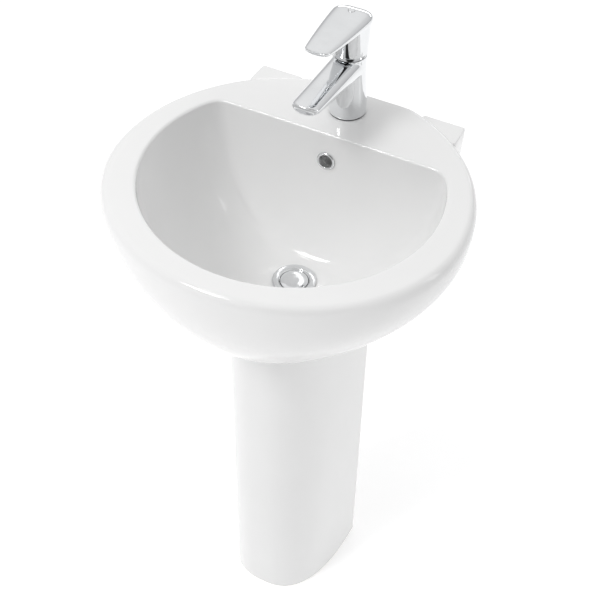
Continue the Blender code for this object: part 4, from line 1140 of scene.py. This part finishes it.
class MakeTrap(bpy.types.Operator):
    """Chrome bottle trap with its nuts, outlet pipe and wall rosette"""

    bl_idname = "basin.make_trap"
    bl_label = "Bottle trap"

    def execute(self, context):
        nut = [(0.0240, 0.5480), (0.0250, 0.5740), (0.0215, 0.5740), (0.0215, 0.5585)]
        nut += [(0.0163, 0.5570), (0.0163, 0.5480)]
        stand_in("trap_inlet_nut", turned(nut, 96, WASTE_AT, 0.0, 0.001), "chrome")
        head = [(0.0290, 0.4500), (0.0300, 0.4510), (0.0300, 0.5000)]
        head += [(0.0260, 0.5090), (0.0160, 0.5140), (0.0160, 0.5610)]
        head = turned(solid_profile(head), 96, WASTE_AT, 0.0, 0.0016, False)
        hollow = [(0.0270, 0.4400), (0.0270, 0.4960), (0.0165, 0.5050), (0.0165, 0.4400)]
        steps = [
            ("UNION", self.bore(0.0185, 0.0, 0.045)),
            ("DIFFERENCE", sleeve(around(hollow, 96, WASTE_AT), True)),
            ("DIFFERENCE", bar(0.0140, (*WASTE_AT, 0.43), (*WASTE_AT, 0.58), 96)),
            ("DIFFERENCE", self.bore(0.0150, 0.020, 0.080)),
        ]
        stand_in("trap_head", carved(head, steps), "chrome")
        cup = [(NEAR_AXIS, 0.3790), (0.0200, 0.3800), (0.0280, 0.3880), (0.0290, 0.4360), (0.0330, 0.4380)]
        cup += [(0.0330, 0.4496), (0.0255, 0.4496), (0.0250, 0.3900), (0.0190, 0.3830), (NEAR_AXIS, 0.3820)]
        cup = around(rounded(cup, 0.0015, 5, False), 96, WASTE_AT)
        stand_in("trap_cup", sleeve(cup), "chrome")
        outlet_nut = [(0.0225, 0.0), (0.0225, 0.0160), (0.0163, 0.0160), (0.0163, 0.0095)]
        outlet_nut += [(0.0188, 0.0085), (0.0188, 0.0)]
        start = WASTE_Y + 0.0455
        end = BACK_Y - 0.0003
        pipe = [(0.0160, 0.0), (0.0160, end - start), (0.0145, end - start), (0.0145, 0.0)]
        rosette = [(0.0164, -0.0110), (0.0250, -0.0110), (0.0340, -0.0040), (0.0350, 0.0), (0.0164, 0.0)]
        for name, profile, radius, y in (
            ("trap_outlet_nut", outlet_nut, 0.001, WASTE_Y + 0.0370),
            ("outlet_pipe", pipe, 0.0004, start),
            ("wall_rosette", rosette, 0.0025, end),
        ):
            stand_in(name, along_y(turned(profile, 96, radius=radius), (0.0, y, OUTLET_Z)), "chrome")
        return {"FINISHED"}

    def bore(self, radius, start, end):
        """A level bar behind the trap's axis."""
        return bar(radius, (0.0, WASTE_Y + start, OUTLET_Z), (0.0, WASTE_Y + end, OUTLET_Z), 96)


class MakeWallFixings(bpy.types.Operator):
    """Threaded wall studs with their nuts, washers and sleeves"""

    bl_idname = "basin.make_wall_fixings"
    bl_label = "Wall fixings"

    def execute(self, context):
        washer = [(0.0053, -0.0060), (0.0120, -0.0060), (0.0120, -0.0043), (0.0053, -0.0043)]
        collar = [(0.0140, -0.0040), (0.0140, -0.0003), (0.0076, -0.0003), (0.0076, 0.0100)]
        collar += [(0.0053, 0.0100), (0.0053, -0.0040)]
        for label, x in (("left", -WALL_HOLE_X), ("right", WALL_HOLE_X)):
            at = (x, BACK_Y - 0.012, WALL_HOLE_Z)
            for name, mesh, finish in (
                ("wall_stud_", screw_rod(0.005, -0.0280, 0.0117, 0.0015, 0.0005, 48), "steel"),
                ("wall_washer_", turned(washer, 64), "steel"),
                ("wall_nut_", hex_piece(0.0170, 0.0056, -0.0143, -0.0063), "steel"),
                ("wall_collar_", turned(collar, 64, radius=0.0005), "white_plastic"),
            ):
                stand_in(name + label, along_y(mesh, at), finish)
        return {"FINISHED"}


KEPT = {
    "aerator_insert": "grey_plastic",
    "aerator_seal": "rubber",
    "cartridge": "grey_plastic",
    "cartridge_nut": "brass",
    "cartridge_turret": "white_plastic",
    "lever_screw": "steel",
    "plug_guide": "white_plastic",
    "plug_seal": "rubber",
    "plug_stem": "brass",
    "stem": "steel",
    "stem_pin": "steel",
    "tap_clamp_plate": "steel",
    "tap_rubber_washer": "rubber",
    "trap_inlet_washer": "rubber",
    "waste_top_seal": "rubber",
}


class FinishInnerPieces(bpy.types.Operator):
    """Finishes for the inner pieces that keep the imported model's shape"""

    bl_idname = "basin.finish_inner_pieces"
    bl_label = "Inner pieces"

    def execute(self, context):
        for node, finish in KEPT.items():
            coated(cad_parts[node], finish)
        return {"FINISHED"}


# ------------------------------------------------------------------ stage
def area_light(name, place, target, size, power):
    """A rectangular soft light that faces a point."""
    lamp = bpy.data.lights.new(name, "AREA")
    lamp.shape = "RECTANGLE"
    lamp.size, lamp.size_y = size
    lamp.energy = power
    made = linked(name, lamp)
    made.location = place
    made.rotation_mode = "QUATERNION"
    made.rotation_quaternion = (Vector(target) - Vector(place)).to_track_quat("-Z", "Y")


def zone(tree, place, heading, reach, colour, under, softness):
    """A colour laid over another where a direction nears a heading; reach holds the two cosines."""
    near = add(tree, "VectorMath", {0: place, 1: Vector(heading).normalized()}, operation="DOT_PRODUCT")
    limits = {"Value": near.outputs["Value"], "From Min": reach[0], "From Max": reach[1]}
    mask = add(tree, "MapRange", limits, interpolation_type=softness)
    return mixed(tree, mask.outputs["Result"], under, colour)


def pale_world(strength):
    """A pale room: bright overhead and high at the back, greyer low down, with a dark zone in front."""
    world = bpy.data.worlds.new("pale_room")
    bpy.context.scene.world = world
    world.use_nodes = True
    tree = world.node_tree
    place = add(tree, "TexCoord").outputs["Generated"]
    height = add(tree, "SeparateXYZ", {"Vector": place}).outputs["Z"]
    ramp = add(tree, "ValToRGB", {"Fac": height})
    stops = ramp.color_ramp.elements
    stops[1].position = 0.75
    stops.new(0.30)
    for stop, colour in zip(stops, ((0.66, 0.66, 0.67, 1.0), (0.80, 0.80, 0.81, 1.0), (1.0, 1.0, 1.0, 1.0))):
        stop.color = colour
    glow = (1.15, 1.15, 1.15, 1.0)
    dark = (0.03, 0.03, 0.03, 1.0)
    room = ramp.outputs["Color"]
    room = zone(tree, place, (-0.36, 0.60, 0.72), (0.80, 0.995), glow, room, "SMOOTHSTEP")
    room = zone(tree, place, (0.42, -0.78, 0.46), (0.86, 0.94), dark, room, "LINEAR")
    fill(tree, tree.nodes["Background"], {"Color": room, "Strength": strength})


def view_camera():
    """The camera: turned to the right of the front and looking down, rolled by a hair.  The rim's middle
    lies left of its line of sight and above it."""
    turn = math.radians(27.48)
    tilt = math.radians(45.99)
    roll = math.radians(0.4)
    distance = 1.4921
    left = 0.02073
    above = 0.14867
    right = Vector((math.cos(turn), math.sin(turn), 0.0))
    ahead = Vector((-math.sin(turn) * math.cos(tilt), math.cos(turn) * math.cos(tilt), -math.sin(tilt)))
    up = right.cross(ahead)
    side = math.cos(roll) * right + math.sin(roll) * up
    top = math.cos(roll) * up - math.sin(roll) * right
    place = Vector((0.0, RIM_MID_Y, RIM_Z)) + left * side - above * top - distance * ahead
    lens = bpy.data.cameras.new("view")
    lens.sensor_width = 36.0
    lens.lens = 68.77
    lens.clip_end = 60.0
    made = linked("view", lens)
    axes = Matrix((side, top, -ahead)).transposed()
    made.matrix_world = Matrix.Translation(place) @ axes.to_4x4()
    bpy.context.scene.camera = made


class SetStage(bpy.types.Operator):
    """Pale floor, soft lights, room and camera"""

    bl_idname = "basin.set_stage"
    bl_label = "Stage"

    def execute(self, context):
        settings = context.scene.basin_stage
        side = np.linspace(-settings.floor_half, settings.floor_half, 3)
        x, y = np.meshgrid(side, side)
        grid = np.stack([x, y, 0.0 * x - 0.0002], axis=-1)
        mesh = bpy.data.meshes.new("floor")
        mesh.from_pydata(grid.reshape(-1, 3).tolist(), [], quads(3, 3, False, False).tolist())
        made, tree, shader = shader_of("pale_floor")
        fill(
            tree,
            shader,
            {
                "Base Color": tone(tree, (0.93, 0.93, 0.93), (0.95, 0.95, 0.95), 2.0),
                "Roughness": drift(tree, 3.0, 0.7, 0.85),
                "Specular IOR Level": 0.2,
                "Emission Color": (1.0, 1.0, 1.0, 1.0),
                "Emission Strength": 0.30,
            },
        )
        mesh.materials.append(made)
        linked("floor", mesh)
        middle = (0.0, 0.0, 0.8)
        power = settings.key_power
        area_light("key", (-1.0, -1.6, 2.9), (0.0, 0.0, 0.75), (0.7, 0.7), power)
        area_light("top", (-0.8, -0.7, 3.1), middle, (0.6, 0.12), power * 0.08)
        area_light("back", (-0.4, 2.7, 1.5), middle, (2.4, 0.4), power * 0.27)
        area_light("side", (2.2, 0.6, 1.6), middle, (0.3, 1.2), power * 0.08)
        pale_world(settings.world_level)
        view_camera()
        context.scene.view_settings.view_transform = "Standard"
        return {"FINISHED"}


OPERATORS = (
    MakeBasin,
    MakePedestal,
    MakeTapBody,
    MakeTapTrim,
    MakeLever,
    MakeClamp,
    MakeOverflow,
    MakeWaste,
    MakeTrap,
    MakeWallFixings,
    FinishInnerPieces,
    SetStage,
)


class BasinPanel(bpy.types.Panel):
    """Lists the pieces and the stage"""

    bl_idname = "VIEW3D_PT_pedestal_basin"
    bl_label = "Pedestal basin"
    bl_space_type = "VIEW_3D"
    bl_region_type = "UI"
    bl_category = "Basin"

    def draw(self, context):
        for operator in OPERATORS:
            self.layout.operator(operator.bl_idname)
        for name, group in GROUPS:
            box = self.layout.box()
            for label in group.__annotations__:
                box.prop(getattr(context.scene, name), label)


def register():
    """Registers the size groups, the operators and the panel."""
    for name, group in GROUPS:
        bpy.utils.register_class(group)
        setattr(bpy.types.Scene, name, PointerProperty(type=group))
    for operator in OPERATORS:
        bpy.utils.register_class(operator)
    bpy.utils.register_class(BasinPanel)


def unregister():
    """Takes back what register adds, in reverse."""
    bpy.utils.unregister_class(BasinPanel)
    for operator in reversed(OPERATORS):
        bpy.utils.unregister_class(operator)
    for name, group in reversed(GROUPS):
        delattr(bpy.types.Scene, name)
        bpy.utils.unregister_class(group)


def main():
    """Makes every piece and the stage in order."""
    register()
    for operator in OPERATORS:
        group, name = operator.bl_idname.split(".")
        getattr(getattr(bpy.ops, group), name)()


if __name__ == "__main__":
    main()
